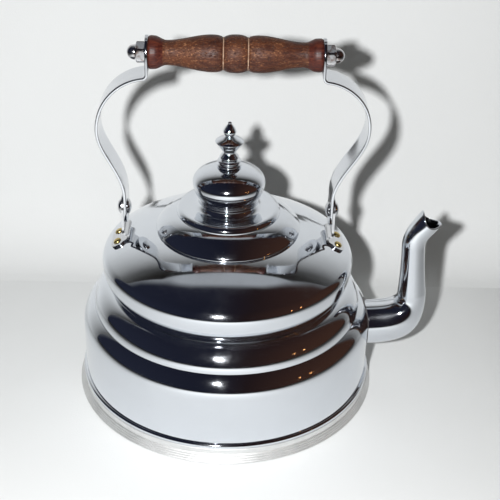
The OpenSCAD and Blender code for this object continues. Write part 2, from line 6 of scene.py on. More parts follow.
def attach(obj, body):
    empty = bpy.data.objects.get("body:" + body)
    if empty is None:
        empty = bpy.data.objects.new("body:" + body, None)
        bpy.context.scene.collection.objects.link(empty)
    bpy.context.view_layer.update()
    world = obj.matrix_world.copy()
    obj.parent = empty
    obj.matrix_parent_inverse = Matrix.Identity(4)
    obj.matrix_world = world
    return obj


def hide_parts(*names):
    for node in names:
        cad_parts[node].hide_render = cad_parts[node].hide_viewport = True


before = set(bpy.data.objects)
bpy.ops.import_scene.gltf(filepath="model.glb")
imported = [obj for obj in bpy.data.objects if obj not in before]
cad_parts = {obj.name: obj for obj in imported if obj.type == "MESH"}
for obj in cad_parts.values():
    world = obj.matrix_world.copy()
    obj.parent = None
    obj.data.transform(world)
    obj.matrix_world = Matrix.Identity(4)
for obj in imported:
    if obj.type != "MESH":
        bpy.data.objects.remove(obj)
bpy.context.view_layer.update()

M = 0.001
scene = bpy.context.scene
scene.view_settings.view_transform = "Standard"

# ---- the part's named values, in mm
drum_r, sheet_t, foot_flare, foot_h, foot_line = 105.5, 1.2, 3.3, 6.0, 0.5
band_w, band_h, bottom_t, bead_r = 1.5, 3.9, 1.5, 2.0
shoulder_z, shoulder_round, shoulder_deg = 51.0, 18.0, 58.0
tier_round, tier_deg, lip_w = 17.0, 79.0, 3.0
dome_out, dome_rise, dome_under_round = 6.7, 18.6, 31.5
dome_edge_round, dome_edge_deg, dome_top_round, neck_in = 9.0, 56.0, 120.0, 2.8
seat_t, seat_depth, skirt_gap = 1.0, 10.0, 0.4
lid_r, lid_t, flange_gap, rim_gap = 51.3, 1.0, 0.3, 0.15
step_r, cover_round, cover_deg, step_round = 36.5, 30.7, 35.0, 4.2
cove_h, neck_knob_r, skirt_depth = 5.0, 20.2, 11.8
ring_h, ring_out, ball_r, ball_low, ball_up = 1.6, 1.0, 25.3, 11.8, 12.5
ball_seat_r, finial_h, saucer_r, finial_foot_r, stud_r = 8.8, 33.6, 9.8, 8.6, 2.0
spout_root_r, spout_bend_r, spout_tube_r, spout_mouth_r, spout_t = 16.5, 10.4, 8.3, 8.8, 1.2
spout_root_z, spout_out, spout_bend_z, spout_in_h, spout_out_h = 44.5, 31.0, 72.0, 8.0, 31.0
spout_turn_z, spout_back, spout_lip_x, spout_lip_z, spout_lip_deg = 110.5, 2.5, 11.3, 134.9, 55.0
pivot_z, arm_inset, arm_flat, arm_t, arm_w, arm_bulge = 140.0, 18.0, 11.0, 2.0, 23.0, 19.4
bulge_rise, bend_rise, bend_round, grip_shift, grip_rise = 64.0, 35.5, 2.5, 3.2, 15.0
grip_len, grip_bead_r, grip_swell_r, grip_neck_r, grip_end_r = 114.0, 12.5, 12.2, 8.2, 10.9
grip_bead_w, groove_d = 16.2, 1.2
nut_af, nut_h, nut_dome_r, nut_total = 13.0, 6.2, 4.9, 12.2
brk_t, pivot_gap, ear_r, ear_base = 1.6, 0.3, 9.0, 10.0
brk_inset, brk_foot_w, brk_foot_len, brk_corner, joggle_drop = 20.5, 12.5, 25.0, 4.0, 16.5
pivot_head_r, pivot_head_h, pivot_inner_h = 5.4, 3.2, 2.4
rivet_head_r, rivet_head_h, rivet_seat, rivet_inset, rivet_pitch = 2.9, 1.6, 0.04, 11.8, 14.0


def rad(d):
    return math.radians(d)


def arc(c, r, a0, a1, n):
    return [(c[0] + r * math.cos(rad(a0 + (a1 - a0) * i / n)),
             c[1] + r * math.sin(rad(a0 + (a1 - a0) * i / n))) for i in range(n + 1)]


def bez(a, b, c, d, t):
    k = ((1 - t) ** 3, 3 * (1 - t) ** 2 * t, 3 * (1 - t) * t * t, t ** 3)
    return tuple(k[0] * a[i] + k[1] * b[i] + k[2] * c[i] + k[3] * d[i] for i in range(2))


def smooth(t):
    u = max(0.0, min(1.0, t))
    return u * u * (3 - 2 * u)


band_r = drum_r + band_w
foot_r = band_r + foot_flare
band_top = foot_h + band_h
bead_z = band_top + bead_r
sh_c = (drum_r - shoulder_round, shoulder_z)
tier_r = sh_c[0] + shoulder_round * math.cos(rad(shoulder_deg))
tier_z = sh_c[1] + shoulder_round * math.sin(rad(shoulder_deg))
tier_c = (tier_r - tier_round, tier_z)
waist_r = tier_c[0] + tier_round * math.cos(rad(tier_deg))
waist_z = tier_c[1] + tier_round * math.sin(rad(tier_deg))
dome_r = waist_r + dome_out
dome_z = waist_z + dome_rise
under_c = (dome_r - dome_under_round, dome_z)
edge_c = (dome_r - dome_edge_round, dome_z)
top_c = (edge_c[0] - (dome_top_round - dome_edge_round) * math.cos(rad(dome_edge_deg)),
         edge_c[1] - (dome_top_round - dome_edge_round) * math.sin(rad(dome_edge_deg)))


def dome_top_a(r, off=0.0):
    return math.degrees(math.acos((r - top_c[0]) / (dome_top_round + off)))


def dome_h(r):
    """Height of the dome's outer face at radius r, over its top and its rounded edge."""
    join = edge_c[0] + dome_edge_round * math.cos(rad(dome_edge_deg))
    if r <= join:
        return top_c[1] + dome_top_round * math.sin(rad(dome_top_a(r)))
    return edge_c[1] + math.sqrt(max(0.0, dome_edge_round ** 2 - (r - edge_c[0]) ** 2))


def dome_n(r):
    """Outward normal (r, z) of the dome at radius r."""
    join = edge_c[0] + dome_edge_round * math.cos(rad(dome_edge_deg))
    if r <= join:
        v = (r - top_c[0], dome_h(r) - top_c[1])
    else:
        v = (r - edge_c[0], dome_h(r) - edge_c[1])
    s = math.hypot(*v)
    return (v[0] / s, v[1] / s)


neck_r = lid_r - neck_in
neck_z = dome_h(neck_r)
lid_z = dome_h(lid_r - lid_t) + rim_gap
flange_z = neck_z + flange_gap
rim_top = flange_z + seat_t
cover_c = (lid_r - cover_round * math.cos(rad(cover_deg)), rim_top - cover_round * math.sin(rad(cover_deg)))
step_z = cover_c[1] + math.sqrt(cover_round ** 2 - (step_r - cover_c[0]) ** 2)
step_top = step_z + step_round
cove_z = step_top + cove_h
skirt_r = neck_r - seat_t - skirt_gap
ball_foot_z = cove_z + ring_h
ball_z = ball_foot_z + ball_low
ball_foot_r = neck_knob_r + 0.2
ball_down = ball_low / math.sqrt(1 - (ball_foot_r / ball_r) ** 2)
seat_z = ball_z + ball_up * math.sqrt(1 - (ball_seat_r / ball_r) ** 2)
bulge_z = pivot_z + bulge_rise
bend_z = bulge_z + bend_rise
grip_z = bend_z + grip_rise
arm_x, brk_foot_x, rivet_ring = dome_r - arm_inset, dome_r - brk_inset, dome_r - rivet_inset
arm_in, arm_out = arm_x - arm_t / 2, arm_x + arm_t / 2
ear_x = arm_out + pivot_gap
joggle_z = pivot_z - joggle_drop
plate_x = grip_len / 2 + arm_t / 2
plate_out = plate_x + arm_t / 2


# ---- mesh helpers
def new_mesh(name, verts, faces, sharp=32.0, flat=False):
    me = bpy.data.meshes.new(name)
    me.from_pydata([(v[0] * M, v[1] * M, v[2] * M) for v in verts], [], faces)
    me.validate()
    me.update()
    if not flat:
        me.shade_smooth()
        me.set_sharp_from_angle(angle=rad(sharp))
    ob = bpy.data.objects.new(name, me)
    scene.collection.objects.link(ob)
    return ob


def dense(pts, step=1.6):
    """The profile with its long straight runs cut up, so that shading stays true to the shape."""
    out = [pts[0]]
    for a, b in zip(pts, pts[1:]):
        d = math.hypot(b[0] - a[0], b[1] - a[1])
        if d < 1e-5:
            continue
        n = max(1, int(d / step))
        for i in range(1, n + 1):
            out.append((a[0] + (b[0] - a[0]) * i / n, a[1] + (b[1] - a[1]) * i / n))
    return out


def soften(pts, r, n=4, turn=25.0):
    """Rounds the corners of a closed profile with a small radius."""
    out = []
    m = len(pts)
    for i in range(m):
        a, b, c = pts[i - 1], pts[i], pts[(i + 1) % m]
        u = (a[0] - b[0], a[1] - b[1])
        v = (c[0] - b[0], c[1] - b[1])
        lu, lv = math.hypot(*u), math.hypot(*v)
        if lu < 1e-6 or lv < 1e-6:
            continue
        cosang = (u[0] * v[0] + u[1] * v[1]) / lu / lv
        if math.degrees(math.acos(max(-1, min(1, -cosang)))) < turn:
            out.append(b)
            continue
        k = min(r, lu * 0.45, lv * 0.45)
        p = (b[0] + u[0] / lu * k, b[1] + u[1] / lu * k)
        q = (b[0] + v[0] / lv * k, b[1] + v[1] / lv * k)
        for j in range(n + 1):
            t = j / n
            out.append(((1 - t) ** 2 * p[0] + 2 * (1 - t) * t * b[0] + t * t * q[0],
                        (1 - t) ** 2 * p[1] + 2 * (1 - t) * t * b[1] + t * t * q[1]))
    return out


def curve_through(pts, n=5):
    """A smooth curve through the points (Catmull-Rom), open."""
    out = []
    for i in range(len(pts) - 1):
        p0, p1, p2, p3 = pts[max(0, i - 1)], pts[i], pts[i + 1], pts[min(len(pts) - 1, i + 2)]
        for j in range(n):
            t = j / n
            out.append(tuple(0.5 * (2 * p1[k] + (p2[k] - p0[k]) * t
                                    + (2 * p0[k] - 5 * p1[k] + 4 * p2[k] - p3[k]) * t * t
                                    + (3 * p1[k] - p0[k] - 3 * p2[k] + p3[k]) * t ** 3) for k in range(2)))
    out.append(pts[-1])
    return out


def lathe(name, pts, seg=192, closed=True, place=None, sharp=32.0, wob=None):
    """Turns a profile of (radius, height) round +Z. Points on the axis become one vertex."""
    verts, rows = [], []
    for r, z in pts:
        if r < 1e-4:
            rows.append([len(verts)])
            verts.append((0.0, 0.0, z))
        else:
            rows.append(list(range(len(verts), len(verts) + seg)))
            for k in range(seg):
                a = 2 * math.pi * k / seg
                rr, zz = (r, z) if wob is None else wob(r, z, a)
                verts.append((rr * math.cos(a), rr * math.sin(a), zz))
    faces = []
    n = len(rows)
    for i in range(n if closed else n - 1):
        a, b = rows[i], rows[(i + 1) % n]
        if len(a) == 1 and len(b) == 1:
            continue
        for k in range(seg):
            l = (k + 1) % seg
            if len(a) == 1:
                faces.append((a[0], b[l], b[k]))
            elif len(b) == 1:
                faces.append((a[k], a[l], b[0]))
            else:
                faces.append((a[k], a[l], b[l], b[k]))
    if place is not None:
        verts = [tuple(place @ Vector(v)) for v in verts]
    ob = new_mesh(name, verts, faces, sharp)
    fix_normals(ob)
    return ob


def fix_normals(ob):
    import bmesh
    bm = bmesh.new()
    bm.from_mesh(ob.data)
    bmesh.ops.recalc_face_normals(bm, faces=bm.faces)
    bm.to_mesh(ob.data)
    bm.free()


def tube(name, rings, closed_ends=False, wrap=True, sharp=32.0):
    """Joins rings of equal length into a skin."""
    k = len(rings[0])
    verts = [p for r in rings for p in r]
    faces = []
    n = len(rings)
    for i in range(n - 1):
        for j in range(k if wrap else k - 1):
            l = (j + 1) % k
            faces.append((i * k + j, i * k + l, (i + 1) * k + l, (i + 1) * k + j))
    if closed_ends:
        faces.append(tuple(range(k)))
        faces.append(tuple(reversed(range((n - 1) * k, n * k))))
    ob = new_mesh(name, verts, faces, sharp)
    fix_normals(ob)
    return ob


# ---- material helpers
class Mat:
    def __init__(self, name):
        self.m = bpy.data.materials.new(name)
        self.m.use_nodes = True
        self.t = self.m.node_tree
        self.t.nodes.clear()
        self.out = self.t.nodes.new("ShaderNodeOutputMaterial")
        self.b = self.t.nodes.new("ShaderNodeBsdfPrincipled")
        self.t.links.new(self.b.outputs[0], self.out.inputs[0])

    def node(self, kind, **props):
        n = self.t.nodes.new(kind)
        for k, v in props.items():
            if k.startswith("in_"):
                n.inputs[k[3:].replace("_", " ")].default_value = v
            else:
                setattr(n, k, v)
        return n

    def link(self, a, b):
        self.t.links.new(a, b)

    def coord(self, scale=(1, 1, 1), rot=(0, 0, 0), loc=(0, 0, 0)):
        c = self.node("ShaderNodeTexCoord")
        mp = self.node("ShaderNodeMapping", in_Scale=scale, in_Rotation=rot, in_Location=loc)
        self.link(c.outputs["Object"], mp.inputs[0])
        return mp.outputs[0]

    def noise(self, vec, scale, detail=3.0, rough=0.55, dist=0.0):
        n = self.node("ShaderNodeTexNoise", in_Scale=scale, in_Detail=detail, in_Roughness=rough,
                      in_Distortion=dist)
        self.link(vec, n.inputs["Vector"])
        return n.outputs["Fac"]

    def ramp(self, fac, stops, interp="LINEAR"):
        r = self.node("ShaderNodeValToRGB")
        e = r.color_ramp
        e.interpolation = interp
        while len(e.elements) < len(stops):
            e.elements.new(0.5)
        for i, (p, c) in enumerate(stops):
            e.elements[i].position = p
            e.elements[i].color = c if len(c) == 4 else (*c, 1)
        self.link(fac, r.inputs[0])
        return r.outputs[0]

    def span(self, fac, a, b, lo, hi):
        r = self.node("ShaderNodeMapRange", in_From_Min=a, in_From_Max=b, in_To_Min=lo, in_To_Max=hi)
        self.link(fac, r.inputs[0])
        return r.outputs[0]

    def mix(self, fac, a, b, blend="MIX"):
        n = self.node("ShaderNodeMix", data_type="RGBA", blend_type=blend)
        self._put(n.inputs[0], fac)
        self._put(n.inputs[6], a)
        self._put(n.inputs[7], b)
        return n.outputs[2]

    def math(self, op, a, b=None):
        n = self.node("ShaderNodeMath", operation=op)
        self._put(n.inputs[0], a)
        if b is not None:
            self._put(n.inputs[1], b)
        return n.outputs[0]

    def _put(self, sock, v):
        if isinstance(v, bpy.types.NodeSocket):
            self.link(v, sock)
        elif isinstance(v, (tuple, list)):
            sock.default_value = v if len(v) == 4 else (*v, 1)
        else:
            sock.default_value = v

    def bump(self, height, strength, distance, after=None):
        n = self.node("ShaderNodeBump", in_Strength=strength, in_Distance=distance)
        self.link(height, n.inputs["Height"])
        if after is not None:
            self.link(after, n.inputs["Normal"])
        return n.outputs[0]

    def set(self, **kw):
        for k, v in kw.items():
            self._put(self.b.inputs[k.replace("_", " ")], v)
        return self


def metal(name, tint, rough=0.045, scratch=0.22, haze=0.05, wave=0.35, aniso=0.0, stain=0.06, rust=0.0):
    """Polished plated metal: fine turned scratches that widen a highlight, waviness, dull patches."""
    m = Mat(name)
    v = m.coord()
    fine = m.noise(m.coord(scale=(1, 1, 2.0)), 5200.0, 1.0, 0.5)
    broad = m.noise(v, 38.0, 4.0, 0.6, 0.3)
    spots = m.noise(v, 260.0, 3.0, 0.55)
    lines = m.span(fine, 0.50, 0.68, 0.0, 1.0)
    patch = m.span(broad, 0.42, 0.70, 0.25, 1.0)
    r0 = m.math("MULTIPLY", m.math("MULTIPLY", lines, patch), scratch)
    r1 = m.math("MULTIPLY", patch, haze)
    m.set(Roughness=m.math("ADD", m.math("ADD", r0, r1), rough))
    tone = m.mix(m.span(broad, 0.35, 0.8, 0.0, stain), tint, tuple(c * 0.72 for c in tint))
    spot = m.span(spots, 0.72, 0.80, 0.0, 0.35)
    tone = m.mix(spot, tone, (0.30, 0.27, 0.23))
    if rust:
        tone = m.mix(m.span(m.noise(v, 140.0, 4.0, 0.65), 0.50, 0.60, 0.0, rust), tone, (0.20, 0.10, 0.06))
    m.set(Base_Color=tone, Metallic=1.0)
    soft = m.noise(v, 22.0, 2.0, 0.5)
    m.set(Normal=m.bump(soft, wave, 0.0006))
    if aniso:
        tangent = m.node("ShaderNodeTangent", direction_type="RADIAL", axis="Z")
        m.link(tangent.outputs[0], m.b.inputs["Tangent"])
        m.b.inputs["Anisotropic"].default_value = aniso
        m.b.inputs["Anisotropic Rotation"].default_value = 0.25
    return m.m


chrome = metal("plated_chrome", (0.72, 0.748, 0.79), rough=0.03, scratch=0.15, haze=0.035, wave=0.22,
               aniso=0.7, stain=0.12)
chrome_lid = metal("plated_chrome_lid", (0.70, 0.728, 0.77), rough=0.03, scratch=0.16, haze=0.03,
                   wave=0.16, stain=0.12)
chrome_small = metal("plated_chrome_small", (0.70, 0.72, 0.755), rough=0.04, scratch=0.16, wave=0.2,
                     stain=0.15)
bracket_m = metal("bracket_steel", (0.66, 0.67, 0.69), rough=0.09, scratch=0.3, wave=0.3, stain=0.35)
nut_m = metal("nut_plate", (0.66, 0.66, 0.68), rough=0.07, scratch=0.3, wave=0.3, stain=0.3, rust=0.7)
inner_m = metal("inside_tin", (0.55, 0.55, 0.54), rough=0.32, scratch=0.2, wave=0.4, stain=0.5)


def base_material():
    m = Mat("base_satin")
    v = m.coord()
    broad = m.noise(v, 30.0, 4.0, 0.6, 0.2)
    fine = m.noise(m.coord(scale=(1, 1, 2.0)), 1600.0, 2.0, 0.6)
    m.set(Metallic=0.85, Roughness=m.span(m.mix(0.5, fine, broad), 0.3, 0.7, 0.40, 0.56))
    m.set(Base_Color=m.ramp(broad, [(0.25, (0.62, 0.625, 0.62)), (0.6, (0.76, 0.765, 0.76)),
                                    (0.8, (0.66, 0.65, 0.63))]))
    m.set(Normal=m.bump(fine, 0.10, 0.0003))
    return m.m


base_m = base_material()


def brass_material():
    m = Mat("rivet_brass_old")
    v = m.coord()
    n = m.noise(v, 420.0, 4.0, 0.6)
    m.set(Metallic=1.0, Roughness=m.span(n, 0.3, 0.7, 0.16, 0.42))
    m.set(Base_Color=m.ramp(n, [(0.2, (0.16, 0.12, 0.05)), (0.45, (0.50, 0.38, 0.14)),
                                (0.7, (0.74, 0.60, 0.27))]))
    m.set(Normal=m.bump(n, 0.3, 0.0003))
    return m.m


brass_m = brass_material()


def wood_material():
    """Old turned hardwood: long brown grain along X, dark pores, pale rubbed flecks, darker ends."""
    m = Mat("grip_wood_worn")
    grain = m.noise(m.coord(scale=(1.0, 4.0, 4.0)), 110.0, 5.0, 0.65, 0.5)
    fine = m.noise(m.coord(scale=(1.0, 3.0, 3.0)), 420.0, 3.0, 0.6)
    pores = m.noise(m.coord(scale=(1.0, 3.0, 3.0)), 640.0, 2.0, 0.5)
    worn = m.noise(m.coord(), 46.0, 4.0, 0.6, 0.5)
    col = m.ramp(grain, [(0.28, (0.018, 0.006, 0.004)), (0.50, (0.052, 0.016, 0.009)),
                         (0.72, (0.120, 0.042, 0.019))])
    col = m.mix(m.span(worn, 0.46, 0.72, 0.0, 0.6), col, (0.125, 0.042, 0.016))
    fleck = m.math("MULTIPLY", m.span(fine, 0.56, 0.68, 0.0, 0.7), m.span(worn, 0.36, 0.62, 0.1, 1.0))
    col = m.mix(fleck, col, (0.36, 0.165, 0.075))
    col = m.mix(m.span(pores, 0.60, 0.68, 0.0, 0.85), col, (0.014, 0.006, 0.005))
    m.set(Base_Color=col, Roughness=m.span(worn, 0.3, 0.7, 0.36, 0.58))
    h = m.math("SUBTRACT", fine, m.span(pores, 0.58, 0.70, 0.0, 1.2))
    m.set(Normal=m.bump(h, 0.5, 0.0005))
    m.b.inputs["Specular IOR Level"].default_value = 0.22
    return m.m


wood_m = wood_material()


def collar_material():
    m = Mat("grip_wood_dark")
    grain = m.noise(m.coord(scale=(1.0, 9.0, 9.0)), 110.0, 5.0, 0.6, 0.4)
    pores = m.noise(m.coord(scale=(1.0, 5.0, 5.0)), 520.0, 2.0, 0.5)
    col = m.ramp(grain, [(0.25, (0.018, 0.004, 0.003)), (0.5, (0.052, 0.010, 0.006)),
                         (0.75, (0.12, 0.028, 0.012))])
    col = m.mix(m.span(pores, 0.64, 0.70, 0.0, 0.7), col, (0.02, 0.006, 0.004))
    m.set(Base_Color=col, Roughness=m.span(grain, 0.3, 0.7, 0.36, 0.55), Normal=m.bump(grain, 0.3, 0.0004))
    m.b.inputs["Specular IOR Level"].default_value = 0.3
    return m.m


collar_m = collar_material()


def groove_material():
    m = Mat("grip_groove_dust")
    n = m.noise(m.coord(), 500.0, 4.0, 0.6)
    m.set(Base_Color=m.ramp(n, [(0.3, (0.16, 0.08, 0.045)), (0.6, (0.36, 0.24, 0.16))]), Roughness=0.8,
          Normal=m.bump(n, 0.4, 0.0003))
    return m.m


groove_m = groove_material()


def verdigris_material():
    m = Mat("spout_verdigris")
    n = m.noise(m.coord(), 330.0, 5.0, 0.65, 0.4)
    col = m.ramp(n, [(0.3, (0.04, 0.11, 0.08)), (0.44, (0.09, 0.25, 0.18)), (0.58, (0.19, 0.42, 0.33)),
                     (0.75, (0.32, 0.52, 0.44))])
    m.set(Base_Color=col, Roughness=m.span(n, 0.3, 0.7, 0.45, 0.8), Normal=m.bump(n, 0.5, 0.0005))
    return m.m


verdigris_m = verdigris_material()


def seam_material():
    m = Mat("seam_dirt")
    n = m.noise(m.coord(), 300.0, 4.0, 0.6)
    m.set(Base_Color=m.ramp(n, [(0.3, (0.05, 0.048, 0.05)), (0.7, (0.22, 0.21, 0.21))]), Metallic=0.6,
          Roughness=m.span(n, 0.3, 0.7, 0.35, 0.6))
    return m.m


seam_m = seam_material()


def give(ob, *mats):
    ob.data.materials.clear()
    for x in mats:
        ob.data.materials.append(x)


def finish_piece(ob, body, slot, mats, *nodes):
    give(ob, *mats)
    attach(ob, body)
    if nodes:
        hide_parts(*nodes)
    return ob


# ---- the body's turned shells
d = (band_r + foot_line - foot_r, foot_h)
foot = [(0, 0)]
for i in range(4):
    foot += [(foot_r + d[0] * i / 4, d[1] * i / 4), (foot_r + d[0] * (i + 0.75) / 4, d[1] * (i + 0.75) / 4),
             (foot_r + d[0] * (i + 0.85) / 4 - foot_line, d[1] * (i + 0.85) / 4)]
foot += [(band_r, foot_h), (band_r, band_top), (drum_r, band_top), (drum_r, bottom_t), (0, bottom_t)]
base = lathe("foot_ring_and_bottom", dense(soften(foot[1:-1], 0.28, 3), 3.0) + [(0, bottom_t)] + [(0, 0)],
             224, closed=True)
finish_piece(base, "kettle", "base_metal", [base_m], "base_pan")

bead = [(drum_r, bead_z - bead_r)]
bead += arc((drum_r, bead_z), bead_r, -84, 84, 22)
bead += [(drum_r, bead_z + bead_r)]
bead_o = lathe("rolled_seam_bead", bead, 256)
finish_piece(bead_o, "kettle", "chrome_plate", [chrome], "seam_bead")

drum = dense([(drum_r, bottom_t), (drum_r, shoulder_z)], 1.5)
drum += arc(sh_c, shoulder_round, 0, shoulder_deg, 40)[1:]
drum += dense([(tier_r, tier_z), (tier_r - lip_w, tier_z)])[1:] + [(tier_r - lip_w, tier_z - sheet_t)]
drum += [p for p in arc(sh_c, shoulder_round - sheet_t, shoulder_deg, 0, 30)
         if p[1] < tier_z - sheet_t - 0.01]
drum += dense([(drum_r - sheet_t, shoulder_z), (drum_r - sheet_t, bottom_t)], 4.0)[1:]
drum_o = lathe("drum_wall_and_shoulder", drum, 256)
finish_piece(drum_o, "kettle", "chrome_plate", [chrome], "drum_shell")

mid = arc(tier_c, tier_round, 0, tier_deg, 44) + dense([(waist_r, waist_z), (waist_r - lip_w, waist_z)])[1:]
mid += [(waist_r - lip_w, waist_z - sheet_t)]
mid += [p for p in arc(tier_c, tier_round - sheet_t, tier_deg, 0, 30) if p[1] < waist_z - sheet_t - 0.01]
mid_o = lathe("middle_step", mid, 256)
finish_piece(mid_o, "kettle", "chrome_plate", [chrome], "middle_shell")


def dome_pts(off, r_end, n=(24, 28, 30)):
    """The dome's profile from its waist to radius r_end, moved outwards by off."""
    waist_a = math.degrees(math.asin((waist_z - dome_z) / (dome_under_round + off)))
    a = arc(under_c, dome_under_round + off, waist_a, 0, n[0])
    b = [p for p in arc(edge_c, dome_edge_round + off, 0, dome_edge_deg, n[1]) if p[1] > dome_z + 0.01]
    c = [p for p in arc(top_c, dome_top_round + off, dome_edge_deg, dome_top_a(r_end, off), n[2])
         if p[0] < edge_c[0] + (dome_edge_round + off) * math.cos(rad(dome_edge_deg)) - 0.01]
    return a + b + c


dome = dome_pts(0, neck_r) + list(reversed(dome_pts(-sheet_t, neck_r, (16, 12, 16))))
dome_o = lathe("dome_top", dome, 256)
finish_piece(dome_o, "kettle", "chrome_plate", [chrome], "dome_shell")

ring = soften([(neck_r, neck_z - seat_depth), (neck_r, neck_z), (neck_r - seat_t, neck_z),
               (neck_r - seat_t, neck_z - seat_depth)], 0.3, 4)
ring_o = lathe("neck_lining", dense(ring, 2.0), 192)
finish_piece(ring_o, "kettle", "chrome_plate", [inner_m], "lid_seat_ring")

# ---- spout
spout_x = drum_r + spout_out
spout_up_x = spout_x - spout_back
mouth = (spout_up_x + spout_lip_x, spout_lip_z)
lip_d = (math.cos(rad(spout_lip_deg)), math.sin(rad(spout_lip_deg)))
root = (drum_r - 3, spout_root_z)
k0 = math.hypot(spout_back, spout_turn_z - spout_bend_z)
bend_d = (-spout_back / k0, (spout_turn_z - spout_bend_z) / k0)
bend_end = (spout_x, spout_bend_z)
bend_n = (-bend_d[1], bend_d[0])


def add(a, b, k=1.0):
    return (a[0] + b[0] * k, a[1] + b[1] * k)


def inside(s):
    return bez(add(root, (0, spout_root_r)), add(root, (2.1 * spout_in_h, spout_root_r + 1)),
               add(add(bend_end, bend_n, spout_bend_r), bend_d, -spout_in_h),
               add(bend_end, bend_n, spout_bend_r), s)


def outside(s):
    return bez(add(root, (0, -spout_root_r)), add(root, (1.2 * spout_out_h, 1.5 - spout_root_r)),
               add(add(bend_end, bend_n, -spout_bend_r), bend_d, -spout_out_h),
               add(bend_end, bend_n, -spout_bend_r), s)


def spout_axis(s):
    up = (spout_up_x, spout_turn_z)
    if s <= 2:
        return bez(bend_end, add(bend_end, bend_d, 12), add(up, bend_d, -12), up, s - 1)
    return bez(up, add(up, bend_d, 10), add(mouth, lip_d, -11), mouth, s - 2)


def spout_r(s):
    if s <= 2:
        return spout_bend_r + (spout_tube_r - spout_bend_r) * (1 - (2 - s) ** 2)
    return spout_tube_r + (spout_mouth_r - spout_tube_r) * smooth((s - 2.3) / 0.7)


def drum_x(y, z):
    dz = z - shoulder_z
    r = drum_r if dz <= 0 else sh_c[0] + math.sqrt(max(0.0, shoulder_round ** 2 - dz * dz))
    return math.sqrt(max(0.0, r * r - y * y)) + 0.03


# how far the sides of the spout's mouth stand back from its two tips, in mm
scoop = 5.0


def spout_ring(s, off, k=72):
    """A ring of k points round the spout at station s (0 root, 3 mouth), moved outwards by off."""
    if s <= 1:
        a, b = inside(s), outside(s)
        c, h = ((a[0] + b[0]) / 2, (a[1] + b[1]) / 2), ((a[0] - b[0]) / 2, (a[1] - b[1]) / 2)
    else:
        c = spout_axis(s)
        p, q = spout_axis(max(1, s - 0.02)), spout_axis(min(3, s + 0.02))
        u = (q[0] - p[0], q[1] - p[1])
        n = math.hypot(*u)
        h = (-u[1] / n * spout_r(s), u[0] / n * spout_r(s))
    r0 = math.hypot(*h)
    v = (h[0] / r0, h[1] / r0)
    r = r0 + off
    out = []
    for i in range(k):
        a = 2 * math.pi * i / k
        y = r * math.sin(a)
        x, z = c[0] + r * math.cos(a) * v[0], c[1] + r * math.cos(a) * v[1]
        if s <= 0:
            z = spout_root_z + r * math.cos(a)
            x = drum_x(y, z)
        else:
            x = max(x, drum_x(y, z) + s * 4.8)
        # the mouth is cut like a scoop: its sides stand back from its two tips
        back = scoop * math.sin(a) ** 2 * smooth((s - 2.35) / 0.65)
        out.append((x - lip_d[0] * back, y, z - lip_d[1] * back))
    return out


sn = 132
outer = [spout_ring(3 * i / sn, 0.0) for i in range(sn)]
lip = []
for j in range(7):
    a = math.pi * j / 6
    shift = -spout_t / 2 + spout_t / 2 * math.cos(a)
    fwd = 0.5 * math.sin(a) - 0.5
    lip.append([(x + lip_d[0] * fwd, y, z + lip_d[1] * fwd) for x, y, z in spout_ring(3.0, shift)])
inner = [spout_ring(3 * i / sn, -spout_t) for i in range(sn - 1, -1, -1)]
skin = outer + lip + inner
n_rings, kk = len(skin), len(skin[0])
verts = [p for r in skin for p in r]
faces, mat_i = [], []
for i in range(n_rings):
    for j in range(kk):
        l, n2 = (j + 1) % kk, (i + 1) % n_rings
        faces.append((i * kk + j, i * kk + l, n2 * kk + l, n2 * kk + j))
        mat_i.append(0 if i < len(outer) + 3 else 1)
spout_o = new_mesh("gooseneck_spout", verts, faces, 40)
# these indices go back to 0 when finish_piece clears the slots, so the inside renders as plate
for p, mi in zip(spout_o.data.polygons, mat_i):
    p.material_index = mi
fix_normals(spout_o)
finish_piece(spout_o, "kettle", "chrome_plate", [chrome, verdigris_m], "spout")

# the soldered joint where the spout meets the drum: a thin raised fillet with old dirt in its edge
rings = []
for i in range(9):
    a = math.pi * i / 8
    w, h = 1.15 * math.cos(a), 0.55 * math.sin(a)
    ringp = []
    for q in range(96):
        t = 2 * math.pi * q / 96
        r = spout_root_r + 0.9 + w
        y, z = r * math.sin(t), spout_root_z + r * math.cos(t)
        x = drum_x(y, z) + h - 0.05
        ringp.append((x, y, z))
    rings.append(ringp)
joint = tube("spout_solder_joint", rings)
finish_piece(joint, "kettle", "chrome_plate", [seam_m])


